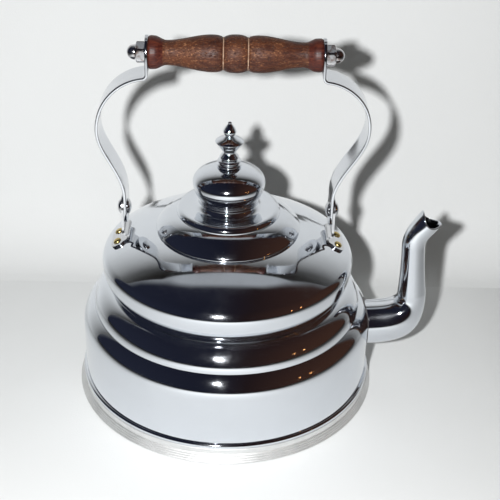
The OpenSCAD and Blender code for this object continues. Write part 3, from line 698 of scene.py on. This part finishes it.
# ---- brackets and rivets
def bracket(name, s):
    """Pressed strip: a tab that follows the dome, a soft bend, and an upright ear with a round top."""
    t = brk_t
    x_in = brk_foot_x + t / 2
    h0 = dome_h(x_in) + t / 2
    path = []
    x_out = brk_foot_x + brk_foot_w
    n = 16
    for i in range(n + 1):
        x = x_out + (x_in + 3.2 - x_out) * i / n
        path.append((x, None))
    up = [(x_in + 0.2, h0 + 2.6), (x_in + (ear_x + t / 2 - x_in) * 0.5, (h0 + 2.6 + joggle_z) / 2),
          (ear_x + t / 2, joggle_z + 0.6)]
    a0 = (x_in + 3.2, dome_h(x_in + 3.2) + t / 2)
    for i in range(1, 9):
        u = i / 8
        path.append(bez(a0, (x_in + 1.0, h0 - 0.1), (x_in - 0.3, h0 + 0.8), up[0], u))
    for i in range(1, 7):
        path.append(bez(up[0], add(up[0], (0.5, 1.6)), add(up[2], (-0.1, -2.0)), up[2], i / 6))
    for i in range(1, 25):
        if i <= 8:
            path.append((ear_x + t / 2, joggle_z + 0.6 + (pivot_z - joggle_z - 0.6) * i / 8))
        else:
            a = math.pi / 2 * (i - 8) / 16
            path.append((ear_x + t / 2, pivot_z + ear_r * math.sin(a)))
    half = []
    for i, p in enumerate(path):
        if i <= n:
            dx = x_out - p[0]
            w = brk_foot_len / 2
            if dx <= brk_corner:
                w = w - brk_corner + math.sqrt(max(0.0, brk_corner ** 2 - (brk_corner - dx) ** 2))
            din = p[0] - (x_in + 3.2)
            w = min(w, brk_foot_len / 2 - 2.0 * max(0.0, 1 - din / 3.0) ** 2)
        elif p[1] < h0 + 3:
            k = (i - n) / 9
            w = (brk_foot_len / 2 - 2.0) * (1 - k) + ear_base * k
        elif p[1] < joggle_z + 3:
            k = smooth((p[1] - h0 - 3) / (joggle_z - h0))
            w = ear_base * (1 - k) + ear_r * k
        elif p[1] <= pivot_z:
            w = ear_r
        else:
            w = math.sqrt(max(0.0, ear_r ** 2 - (p[1] - pivot_z) ** 2))
        half.append(max(w, 0.25))
    cols = 17
    fr = [math.sin(math.pi / 2 * (2 * j / (cols - 1) - 1)) for j in range(cols)]

    def point(i, f, side):
        x, z = path[i]
        y = half[i] * f
        if z is None:
            r = math.hypot(x, y)
            nr, nz = dome_n(r)
            k = (side * t / 2) + t / 2 + 0.02
            return (x + nr * k * x / r, y + nr * k * y / r, dome_h(r) + nz * k)
        a = path[max(n, i - 1)]
        b = path[min(len(path) - 1, i + 1)]
        az = a[1] if a[1] is not None else dome_h(a[0]) + t / 2
        dx, dz = b[0] - a[0], b[1] - az
        ln = math.hypot(dx, dz) or 1
        nx, nz = dz / ln, -dx / ln
        drop = 0.0
        if z < h0 + 2.6:
            q = 1 - smooth((z - (h0 - 1.2)) / 3.8)
            drop = (dome_h(math.hypot(x, y)) - dome_h(x)) * q
        return (x + nx * side * t / 2, y, z + nz * side * t / 2 + drop)

    verts, faces = [], []
    m = len(path)
    for side in (1, -1):
        for i in range(m):
            for j in range(cols):
                verts.append(point(i, fr[j], side))

    def vid(side, i, j):
        return (0 if side > 0 else m * cols) + i * cols + j
    for i in range(m - 1):
        for j in range(cols - 1):
            faces.append((vid(1, i, j), vid(1, i, j + 1), vid(1, i + 1, j + 1), vid(1, i + 1, j)))
            faces.append((vid(-1, i, j), vid(-1, i + 1, j), vid(-1, i + 1, j + 1), vid(-1, i, j + 1)))
        for j in (0, cols - 1):
            faces.append((vid(1, i, j), vid(1, i + 1, j), vid(-1, i + 1, j), vid(-1, i, j)))
    for i in (0, m - 1):
        for j in range(cols - 1):
            faces.append((vid(1, i, j), vid(1, i, j + 1), vid(-1, i, j + 1), vid(-1, i, j)))
    verts = [(s * x, y, z) for x, y, z in verts]
    ob = new_mesh(name, verts, faces, 40)
    fix_normals(ob)
    bv = ob.modifiers.new("edge", "BEVEL")
    bv.width = 0.0004
    bv.segments = 3
    bv.limit_method = "ANGLE"
    bv.angle_limit = rad(50)
    bv.harden_normals = True
    return ob


for s, side in ((-1, "left"), (1, "right")):
    b = bracket(side + "_bail_bracket", s)
    finish_piece(b, "kettle", "plated_steel", [bracket_m], side + "_bracket")

rivet_deg = math.degrees(math.asin(rivet_pitch / 2 / rivet_ring))
rn = dome_n(rivet_ring)
for s, side in ((-1, "left"), (1, "right")):
    parts = []
    for q in (-1, 1):
        c = math.atan2(rn[0], rn[1])
        seat = Matrix.Translation((rivet_ring, 0, dome_h(rivet_ring)))
        place = Matrix.Rotation(rad(q * rivet_deg), 4, "Z") @ seat @ Matrix.Rotation(c, 4, "Y")
        if s < 0:
            place = Matrix.Diagonal((-1, 1, 1, 1)) @ place
        top = brk_t + rivet_seat
        head = [(0, top + rivet_head_h)]
        head += [(rivet_head_r * math.cos(rad(a)) ** 0.8, top + rivet_head_h * math.sin(rad(a)))
                 for a in range(84, 5, -6)]
        head += [(rivet_head_r, top + 0.12), (rivet_head_r - 0.12, top), (1.6, top), (1.6, -sheet_t - 0.1),
                 (rivet_head_r, -sheet_t - 0.1), (rivet_head_r - 0.3, -sheet_t - 0.8), (0, -sheet_t - 0.9)]
        parts.append(lathe("%s_rivet_%d" % (side, q + 2), head, 48, closed=False, place=place))
    finish_piece(parts[0], "kettle", "rivet_brass", [brass_m], side + "_bracket_rivets")
    finish_piece(parts[1], "kettle", "rivet_brass", [brass_m])


def pivot(name, s):
    x0, x1 = arm_in - 0.15, ear_x + brk_t
    pts = [(0, x0 - pivot_inner_h)]
    pts += [(pivot_head_r * math.sin(rad(a)) ** 0.92, x0 - pivot_inner_h * math.cos(rad(a)))
            for a in range(8, 89, 8)]
    pts += [(pivot_head_r, x0 - 0.15), (pivot_head_r - 0.15, x0), (2.5, x0), (2.5, x1),
            (pivot_head_r - 0.15, x1), (pivot_head_r, x1 + 0.2)]
    pts += [(pivot_head_r * math.cos(rad(a)) ** 0.92, x1 + pivot_head_h * math.sin(rad(a)))
            for a in range(8, 89, 8)]
    pts += [(0, x1 + pivot_head_h)]
    place = Matrix.Translation((0, 0, pivot_z)) @ Matrix.Rotation(rad(90), 4, "Y")
    if s < 0:
        place = Matrix.Diagonal((-1, 1, 1, 1)) @ place
    return lathe(name, pts, 64, closed=False, place=place)


for s, side in ((-1, "left"), (1, "right")):
    finish_piece(pivot(side + "_pivot_pin", s), "kettle", "plated_steel", [bracket_m],
                 side + "_pivot_rivet")


# ---- bail: arms, grip, nuts
rise_z = pivot_z + arm_flat
bulge_x = arm_x + arm_bulge


def arm_path():
    p = [(arm_x, pivot_z - arm_w / 2)]
    for i in range(1, 13):
        p.append((arm_x, pivot_z - arm_w / 2 + (arm_w / 2) * (1 - math.cos(math.pi / 2 * i / 12))))
    p.append((arm_x, pivot_z + 4))
    p += [bez((arm_x, rise_z), (arm_x, rise_z + (bulge_z - rise_z) * 0.4),
              (bulge_x, bulge_z - (bulge_z - rise_z) * 0.34), (bulge_x, bulge_z), i / 44)
          for i in range(45)]
    p += [bez((bulge_x, bulge_z), (bulge_x, bulge_z + (bend_z - bulge_z) * 0.56),
              (plate_x + (bulge_x - plate_x) * 0.57, bend_z - 2.2),
              (plate_x + bend_round + 1.5, bend_z + 0.1), i / 36) for i in range(1, 37)]
    k = bend_round + arm_t / 2
    p += [(plate_x + k + k * math.cos(rad(a)), bend_z + k + 0.2 + k * math.sin(rad(a)))
          for a in range(255, 179, -5)]
    z0, z1 = bend_z + k + 0.2, grip_z + arm_w / 2
    p += [(plate_x, z0 + (grip_z - z0) * i / 3) for i in range(1, 4)]
    p += [(plate_x, grip_z + (z1 - grip_z) * math.sin(math.pi / 2 * i / 12)) for i in range(1, 13)]
    return p


strap_edge = 0.55


def strap_loop(w):
    """The strap's cross-section of half width w: a rectangle with rounded edges."""
    h, rr = arm_t / 2, strap_edge
    corners = ((h - rr, w - rr, 0), (-h + rr, w - rr, 90), (-h + rr, -w + rr, 180), (h - rr, -w + rr, 270))
    return [(cx + rr * math.cos(rad(a0 + 30 * j)), cy + rr * math.sin(rad(a0 + 30 * j)))
            for cx, cy, a0 in corners for j in range(4)]


def cut_flats(loop, is_flat):
    """The loop with its flats cut up, so that light runs evenly over them."""
    out = []
    for j, q in enumerate(loop):
        out.append(q)
        nq = loop[(j + 1) % len(loop)]
        if is_flat(j, q, nq):
            for u in (0.1, 0.3, 0.5, 0.7, 0.9):
                out.append((q[0] + (nq[0] - q[0]) * u, q[1] + (nq[1] - q[1]) * u))
    return out


def arm(name, s):
    """One bent strap of the bail, from its round foot on the pivot to its round top at the grip."""
    pts = arm_path()
    pts = [(p[0] + s * grip_shift * smooth((p[1] - rise_z) / (bend_z - 6 - rise_z)), p[1]) for p in pts]
    rings = []
    for i, p in enumerate(pts):
        a, b = pts[max(0, i - 1)], pts[min(len(pts) - 1, i + 1)]
        dx, dz = b[0] - a[0], b[1] - a[1]
        ln = math.hypot(dx, dz)
        nx, nz = -dz / ln, dx / ln
        w = arm_w / 2
        if p[1] < pivot_z:
            w = math.sqrt(max(0.0, w * w - (p[1] - pivot_z) ** 2))
        elif p[1] > grip_z:
            w = math.sqrt(max(0.0, w * w - (p[1] - grip_z) ** 2))
        full = cut_flats(strap_loop(max(w, 0.7)), lambda j, q, nq: abs(nq[1] - q[1]) > 3)
        rings.append((p, nx, nz, full))
    k = max(len(r[3]) for r in rings)
    out = []
    for p, nx, nz, full in rings:
        if len(full) < k:
            full = cut_flats(strap_loop(0.7), lambda j, q, nq: j in (7, 15))
        out.append([(s * (p[0] + nx * q[0]), q[1], p[1] + nz * q[0]) for q in full])
    return tube(name, out, closed_ends=True, sharp=38)


for s, side in ((-1, "left"), (1, "right")):
    finish_piece(arm(side + "_bail_strap", s), "bail", "chrome_plate", [chrome_small], side + "_arm")

b0, e0 = grip_bead_w / 2, grip_len / 2
half = [(grip_bead_r - 1.5 * (i / 12) ** 2.6, (b0 - 0.7) * i / 12) for i in range(13)]
half += [(grip_bead_r - 1.8, b0 - 0.35), (grip_bead_r - groove_d - 0.55, b0 - 0.1),
         (grip_bead_r - groove_d - 0.6, b0 + 0.35),
         (grip_swell_r - 1.35, b0 + 0.75)]
half += [(grip_swell_r - 1.0 * (1 - i / 8) ** 2.4, b0 + 0.9 + 6.4 * i / 8) for i in range(9)]
half += [(grip_swell_r + (grip_neck_r - grip_swell_r) * smooth(i / 30),
          b0 + 7.3 + (e0 - 11.9 - b0 - 7.3) * i / 30) for i in range(1, 31)]
half += [(grip_neck_r + (grip_end_r - grip_neck_r) * smooth(i / 14), e0 - 11.9 + 8 * i / 14)
         for i in range(1, 15)]
half += [(grip_end_r + 0.1, e0 - 2.4), (grip_end_r + 0.1, e0 - 1.4), (grip_end_r - 0.25, e0 - 0.5),
         (grip_end_r - 0.9, e0), (3.2, e0)]
prof = [(r, -z) for r, z in reversed(half[1:])] + half
prof += [(3.2, e0 - 3), (3.2, 0), (3.2, -e0 + 3)]
place = Matrix.Translation((grip_shift, 0, grip_z)) @ Matrix.Rotation(rad(90), 4, "Y")


def worn(r, z, a):
    v = Vector((r * math.cos(a) * 0.09, r * math.sin(a) * 0.09, z * 0.05))
    return r + (0.10 * noise.noise(v) - 0.04 if r > 6 else 0.0), z


grip_o = lathe("turned_wood_grip", prof, 96, closed=True, place=place, wob=worn, sharp=50)
me = grip_o.data
give(grip_o, wood_m, collar_m, groove_m)
for p in me.polygons:
    x = p.center.x / M - grip_shift
    r = math.hypot(p.center.y / M, p.center.z / M - grip_z)
    if abs(x) > e0 - 9.5:
        p.material_index = 1
    elif abs(abs(x) - b0 - 0.05) < 0.48:
        p.material_index = 2
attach(grip_o, "bail")
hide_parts("grip")


def cap_nut(name, s):
    """Hexagon with chamfered faces, a small neck and a domed cap."""
    seg = 96
    rows = []
    zs = [0.0, 0.15, 0.4, 0.8, 1.4, nut_h / 2, nut_h - 1.6, nut_h - 1.0, nut_h - 0.5, nut_h - 0.2, nut_h]
    for z in zs:
        cap = nut_af / 2 + 1.2 - max(0.0, 0.8 - z) * 1.6 - max(0.0, z - (nut_h - 0.9)) * 1.9
        row = []
        for k in range(seg):
            a = 360.0 * k / seg
            m6 = (a % 60) - 30
            hexr = nut_af / 2 / math.cos(rad(m6))
            hexr = min(hexr, nut_af / 2 / math.cos(rad(30)) - 0.12)
            r = min(hexr, cap)
            row.append((r * math.cos(rad(a)), r * math.sin(rad(a)), z))
        rows.append(row)
    prof2 = [(nut_dome_r + 0.35, nut_h), (nut_dome_r + 0.1, nut_h + 0.25)] + \
            [(nut_dome_r, nut_h + 0.4 + (nut_total - nut_dome_r - nut_h - 0.4) * i / 3) for i in range(4)]
    prof2 += [(nut_dome_r * math.cos(rad(a)), nut_total - nut_dome_r + nut_dome_r * math.sin(rad(a)))
              for a in range(8, 89, 8)]
    circle = [(math.cos(2 * math.pi * k / seg), math.sin(2 * math.pi * k / seg)) for k in range(seg)]
    rows += [[(r * x, r * y, z) for x, y in circle] for r, z in prof2]
    rows = [[(3.0 * x, 3.0 * y, 0.0) for x, y in circle]] + rows
    verts = [p for r in rows for p in r]
    faces = []
    for i in range(len(rows) - 1):
        for k in range(seg):
            l = (k + 1) % seg
            faces.append((i * seg + k, i * seg + l, (i + 1) * seg + l, (i + 1) * seg + k))
    verts.append((0, 0, nut_total))
    tip = len(verts) - 1
    for k in range(seg):
        faces.append(((len(rows) - 1) * seg + k, (len(rows) - 1) * seg + (k + 1) % seg, tip))
    pl = Matrix.Translation((plate_out, 0, 0)) @ Matrix.Rotation(rad(90), 4, "Y")
    if s < 0:
        pl = Matrix.Diagonal((-1, 1, 1, 1)) @ pl
    pl = Matrix.Translation((grip_shift, 0, grip_z)) @ pl
    verts = [tuple(pl @ Vector(v)) for v in verts]
    ob = new_mesh(name, verts, faces, 24)
    fix_normals(ob)
    return ob


for s, side in ((-1, "left"), (1, "right")):
    finish_piece(cap_nut(side + "_acorn_nut", s), "bail", "chrome_plate", [nut_m], side + "_cap_nut")

# ---- lid and knob
a1 = math.degrees(math.acos((step_r - cover_c[0]) / cover_round))
t = lid_t
c = cove_h - 0.8
sc = (step_r - step_round, step_z)
cc = (neck_knob_r + c, step_top + c)
cover = arc((lid_r - 0.7, lid_z + 0.7), 0.7, -60, 0, 6)
cover += dense([(lid_r, lid_z + 0.7), (lid_r, rim_top - 0.9)], 0.4)[1:]
cover += arc((lid_r - 0.5, rim_top - 0.7), 0.5, 10, 60, 5)
cover += [p for p in arc(cover_c, cover_round, cover_deg, a1, 44) if p[0] < lid_r - 0.35]
cover += [p for p in arc(sc, step_round, 0, 90, 24) if p[1] > step_z + 0.15]
cover += dense([(sc[0], step_top), (cc[0], step_top)], 0.8)[1:-1]
cover += arc(cc, c, 270, 180, 20)
cover += [(neck_knob_r, cove_z), (stud_r + 0.2, cove_z)]
cover += [(stud_r + 0.2, cove_z - t), (neck_knob_r - t, cove_z - t)]
cover += arc(cc, c + t, 180, 270, 8)
cover += [p for p in arc(sc, step_round - t, 90, 0, 8) if p[1] > step_z - 0.2]
cover += [p for p in arc(cover_c, cover_round - t, a1 - 1, cover_deg + 1, 16) if p[1] > rim_top]
cover += [(lid_r - t, rim_top), (lid_r - t, lid_z)]
cover_o = lathe("lid_cover_spun", cover, 224)
finish_piece(cover_o, "lid", "chrome_plate", [chrome_lid], "lid_cover")

skirt = [(skirt_r, flange_z - skirt_depth), (skirt_r, flange_z), (lid_r - lid_t, flange_z),
         (lid_r - lid_t, rim_top), (skirt_r - seat_t, rim_top), (skirt_r - seat_t, flange_z - skirt_depth)]
skirt_o = lathe("lid_skirt_liner", dense(soften(skirt, 0.3, 3), 2.0), 192)
finish_piece(skirt_o, "lid", "chrome_plate", [inner_m], "lid_skirt")

rk = neck_knob_r + ring_out
ringp = [(neck_knob_r - 2, cove_z), (neck_knob_r + 0.15, cove_z)]
ringp += [(rk - ring_h / 2 + ring_h / 2 * math.cos(rad(a)),
           cove_z + ring_h / 2 + ring_h / 2 * math.sin(rad(a))) for a in range(-70, 71, 10)]
ringp += [(neck_knob_r + 0.15, cove_z + ring_h), (neck_knob_r - 2, cove_z + ring_h)]
finish_piece(lathe("knob_ring_bead", ringp, 192), "lid", "chrome_plate", [chrome_lid], "knob_ring")

al0 = math.degrees(math.asin(ball_low / ball_down))
al1 = math.degrees(math.acos(ball_seat_r / ball_r))
ball = [(ball_r * math.cos(rad(-al0 * (1 - i / 24))),
         ball_z + ball_down * math.sin(rad(-al0 * (1 - i / 24)))) for i in range(25)]
ball += [(ball_r * math.cos(rad(al1 * i / 40)), ball_z + ball_up * math.sin(rad(al1 * i / 40)))
         for i in range(1, 41)]
ball += [(6.0, seat_z), (stud_r + 0.2, seat_z), (stud_r + 0.2, seat_z - t)]
ball += [((ball_r - t) * math.cos(rad(al1 * i / 14)),
          ball_z + (ball_up - t) * math.sin(rad(al1 * i / 14))) for i in range(14, 0, -1)]
ball += [((ball_r - t) * math.cos(rad(-al0 * (1 - i / 9))),
          ball_z + ball_down * math.sin(rad(-al0 * (1 - i / 9)))) for i in range(9, -1, -1)]
finish_piece(lathe("knob_ball_spun", ball, 192), "lid", "chrome_plate", [chrome_lid], "knob_ball")

z, h, f = seat_z, finial_h / 33.6, finial_foot_r
fin = [(f - 0.9, z), (f - 0.3, z + 0.5), (f, z + 1.2 * h), (f, z + 2.2 * h), (f - 1.1, z + 3 * h),
       (f - 1.3, z + 3.3 * h), (f - 0.5, z + 3.9 * h), (f - 0.5, z + 4.8 * h), (f - 1.5, z + 5.5 * h),
       (f - 2.9, z + 6.1 * h), (f - 2, z + 6.9 * h), (f - 1.9, z + 7.7 * h), (f - 3.2, z + 9.3 * h),
       (f - 4, z + 10.4 * h), (f - 4.1, z + 11.3 * h), (f - 3.2, z + 12.7 * h),
       (saucer_r - 2.2, z + 16.0 * h), (saucer_r - 0.8, z + 17.7 * h), (saucer_r - 0.1, z + 18.6 * h),
       (saucer_r, z + 19.0 * h), (saucer_r - 0.4, z + 19.5 * h), (7.4, z + 20.9 * h), (4.9, z + 22.2 * h),
       (3.3, z + 23.1 * h), (2.8, z + 23.5 * h), (2.9, z + 23.8 * h), (3.8, z + 24.1 * h),
       (4.0, z + 24.5 * h), (3.8, z + 24.9 * h), (4.4, z + 25.4 * h), (4.6, z + 26.3 * h),
       (4.3, z + 27.4 * h), (3.5, z + 29.0 * h), (2.4, z + 30.6 * h), (1.5, z + 31.7 * h),
       (1.2, z + 32.1 * h), (1.4, z + 32.6 * h), (1.2, z + 33.1 * h), (0.6, z + 33.5 * h), (0, z + 33.6 * h)]
fin = curve_through(fin, 4)
fin = [(min(max(0.0, r), saucer_r), min(zz, z + finial_h)) for r, zz in fin]
fin = [(0, z)] + fin
finish_piece(lathe("turned_finial", fin, 96, closed=False, sharp=60), "lid", "chrome_plate", [chrome_lid],
             "finial")

# nodes whose CAD shape is right keep it, with worn metal
for n in ("tie_rod", "lid_stud", "lid_washer", "lid_nut"):
    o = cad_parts[n]
    for i in range(max(1, len(o.data.materials))):
        if len(o.data.materials):
            o.data.materials[i] = bracket_m
        else:
            o.data.materials.append(bracket_m)

# ---- floor, backdrop, lights, camera
def stage_material(name, base, weigh, near, far, least):
    """Pale cloth with soft folds and a fine weave.

    It is darker far from the kettle, so that the plate mirrors less light.
    """
    m = Mat(name)
    v = m.coord()
    weave = m.noise(v, 900.0, 2.0, 0.5)
    fold = m.noise(v, 2.6, 3.0, 0.5, 0.3)
    col = m.mix(m.span(fold, 0.35, 0.7, 0.0, 1.0), tuple(x * 0.96 for x in base), base)
    away = m.node("ShaderNodeVectorMath", operation="LENGTH")
    m.link(m.coord(scale=weigh), away.inputs[0])
    dim = m.span(away.outputs["Value"], near, far, 1.0, least)
    m.set(Base_Color=m.mix(1.0, col, dim, "MULTIPLY"), Roughness=0.9)
    height = m.math("ADD", m.math("MULTIPLY", fold, 6.0), m.math("MULTIPLY", weave, 0.10))
    m.set(Normal=m.bump(height, 0.4, 0.002))
    m.b.inputs["Specular IOR Level"].default_value = 0.1
    return m


floor_mat = stage_material("floor_cloth", (0.755, 0.77, 0.77), (1.0, 0.55, 0.0), 0.20, 0.56, 0.25)
me = bpy.data.meshes.new("floor")
floor_half = 3.0
me.from_pydata([(x * floor_half, y * floor_half, 0) for x, y in ((-1, -1), (1, -1), (1, 1), (-1, 1))],
               [], [(0, 1, 2, 3)])
floor = bpy.data.objects.new("floor", me)
floor.location.z = -0.0004
scene.collection.objects.link(floor)
give(floor, floor_mat.m)

back_mat = stage_material("backdrop_cloth", (0.755, 0.77, 0.77), (0.95, 0.0, 0.36), 0.25, 0.66, 0.36)
# seen from behind the cloth lets the camera through, so that it never hides the object
tr = back_mat.node("ShaderNodeBsdfTransparent")
geo = back_mat.node("ShaderNodeNewGeometry")
mx = back_mat.node("ShaderNodeMixShader")
back_mat.link(geo.outputs["Backfacing"], mx.inputs[0])
back_mat.link(back_mat.b.outputs[0], mx.inputs[1])
back_mat.link(tr.outputs[0], mx.inputs[2])
back_mat.link(mx.outputs[0], back_mat.out.inputs[0])
back_y, back_round, back_top, back_lean = 0.118, 0.06, 3.0, 0.25
prof_b = [(back_y, 0.0)]
prof_b += [(back_y + back_round * math.sin(rad(a)), back_round - back_round * math.cos(rad(a)))
           for a in range(8, 77, 4)]
y1, z1 = prof_b[-1]
for i in range(1, 25):
    zz = z1 + (back_top - z1) * i / 24
    prof_b.append((y1 + (zz - z1) * back_lean, zz))
bv, bf = [], []
for i, (yy, zz) in enumerate(prof_b):
    bw = 0.62 + 0.35 * zz
    for j in range(9):
        bv.append((-bw + 2 * bw * j / 8, yy, zz))
for i in range(len(prof_b) - 1):
    for j in range(8):
        q = i * 9 + j
        bf.append((q, q + 1, q + 10, q + 9))
me = bpy.data.meshes.new("backdrop")
me.from_pydata(bv, [], bf)
me.shade_smooth()
backdrop = bpy.data.objects.new("backdrop", me)
scene.collection.objects.link(backdrop)
give(backdrop, back_mat.m)
backdrop.visible_shadow = False


def area(name, loc, target, size, power, color=(1, 1, 1), glossy=False):
    l = bpy.data.lights.new(name, "AREA")
    l.shape = "DISK"
    l.size = size
    l.energy = power
    l.color = color
    o = bpy.data.objects.new(name, l)
    o.location = loc
    o.rotation_mode = "QUATERNION"
    o.rotation_quaternion = (Vector(target) - Vector(loc)).to_track_quat("-Z", "Y")
    o.visible_glossy = glossy
    scene.collection.objects.link(o)
    return o


flash = (-0.085, -0.690, 0.525)
area("key", flash, (0, 0, 0.10), 0.030, 9.4, glossy=True)
# two small warm room lamps, seen only as glints
for turn, tag in ((55, "near"), (64, "far")):
    spot = tuple(2.2 * x for x in (math.sin(rad(turn)) * 0.966, -math.cos(rad(turn)) * 0.966, 0.259))
    area("lamp_" + tag, spot, (0, 0, 0.07), 0.034, 0.06, (1.0, 0.42, 0.12), glossy=True)

world = bpy.data.worlds.new("room")
scene.world = world
world.use_nodes = True
w = world.node_tree
w.nodes.clear()
wout = w.nodes.new("ShaderNodeOutputWorld")
lp = w.nodes.new("ShaderNodeLightPath")


def bg(color, strength):
    n = w.nodes.new("ShaderNodeBackground")
    n.inputs[0].default_value = (*color, 1)
    n.inputs[1].default_value = strength
    return n


diff = bg((1.0, 0.84, 0.66), 0.034)
dark = bg((1, 1, 1), 1.0)
pale = bg((0.84, 0.86, 0.87), 1.0)
tc = w.nodes.new("ShaderNodeTexCoord")
sep = w.nodes.new("ShaderNodeSeparateXYZ")
w.links.new(tc.outputs["Generated"], sep.inputs[0])
mr = w.nodes.new("ShaderNodeMapRange")
mr.inputs["From Min"].default_value = -1
mr.inputs["From Max"].default_value = 1
w.links.new(sep.outputs[0], mr.inputs[0])


def room_ramp(source, stops):
    """A colour ramp of the room, driven by one socket, from (place, colour) stops in rising order."""
    node = w.nodes.new("ShaderNodeValToRGB")
    marks = node.color_ramp.elements
    for mark, (place, colour) in ((marks[0], stops[0]), (marks[1], stops[-1])):
        mark.position = place
        mark.color = (*colour, 1)
    for place, colour in stops[1:-1]:
        marks.new(place).color = (*colour, 1)
    w.links.new(source, node.inputs[0])
    return node.outputs[0]


# the dark room, bluish on the left and warm on the right
room_side = room_ramp(mr.outputs[0], [(0.0, (0.019, 0.022, 0.038)), (0.45, (0.011, 0.012, 0.022)),
                                      (0.62, (0.018, 0.011, 0.012)), (1.0, (0.055, 0.026, 0.018))])
w.links.new(room_side, dark.inputs[0])
# the ceiling, paler in the middle than at its sides
ceil = bg((0.92, 0.96, 1.0), 0.42)
ceiling = room_ramp(mr.outputs[0], [(0.12, (0.22, 0.23, 0.25)), (0.32, (0.92, 0.96, 1.0)),
                                    (0.68, (0.92, 0.96, 1.0)), (0.88, (0.22, 0.23, 0.24))])
w.links.new(ceiling, ceil.inputs[0])
# how far forward the ceiling reaches, by height
edge = room_ramp(sep.outputs[2], [(place, (reach, reach, reach)) for place, reach in (
    (0.0, 0.39), (0.5, 0.33), (0.72, 0.30), (0.866, 0.22), (0.95, 0.14), (1.0, 0.12))])
sub = w.nodes.new("ShaderNodeMath")
sub.operation = "SUBTRACT"
w.links.new(sep.outputs[1], sub.inputs[0])
w.links.new(edge, sub.inputs[1])
soft = w.nodes.new("ShaderNodeMapRange")
soft.interpolation_type = "SMOOTHSTEP"
soft.inputs["From Min"].default_value = -0.03
soft.inputs["From Max"].default_value = 0.05
w.links.new(sub.outputs[0], soft.inputs[0])


def room_mix(fac, a, b):
    """Shader a, or b where fac is 1."""
    node = w.nodes.new("ShaderNodeMixShader")
    for i, source in enumerate((fac, a, b)):
        w.links.new(source, node.inputs[i])
    return node.outputs[0]


mirrored = room_mix(soft.outputs[0], dark.outputs[0], ceil.outputs[0])
unseen = room_mix(lp.outputs["Is Glossy Ray"], diff.outputs[0], mirrored)
w.links.new(room_mix(lp.outputs["Is Camera Ray"], unseen, pale.outputs[0]), wout.inputs[0])
world.cycles.sampling_method = "NONE"

# camera at the photograph's place: 681.9 mm in front, 514.2 mm up
cam = bpy.data.cameras.new("camera")
cam.sensor_fit = "HORIZONTAL"
cam.sensor_width = 36.0
cam.lens = 79.2
co = bpy.data.objects.new("camera", cam)
cam_back, cam_up = 0.6819, 0.5142
pitch, pan, roll = rad(30.94), rad(1.345), rad(1.60)
cp, sp, cn, sn_ = math.cos(pitch), math.sin(pitch), math.cos(pan), math.sin(pan)
fwd = Vector((sn_ * cp, cn * cp, -sp))
right = Vector((cn, -sn_, 0.0))
up = right.cross(fwd)
r2 = math.cos(roll) * right + math.sin(roll) * up
u2 = -math.sin(roll) * right + math.cos(roll) * up
co.matrix_world = Matrix(((r2.x, u2.x, -fwd.x, 0.0),
                          (r2.y, u2.y, -fwd.y, -cam_back),
                          (r2.z, u2.z, -fwd.z, cam_up),
                          (0, 0, 0, 1)))
scene.collection.objects.link(co)
scene.camera = co
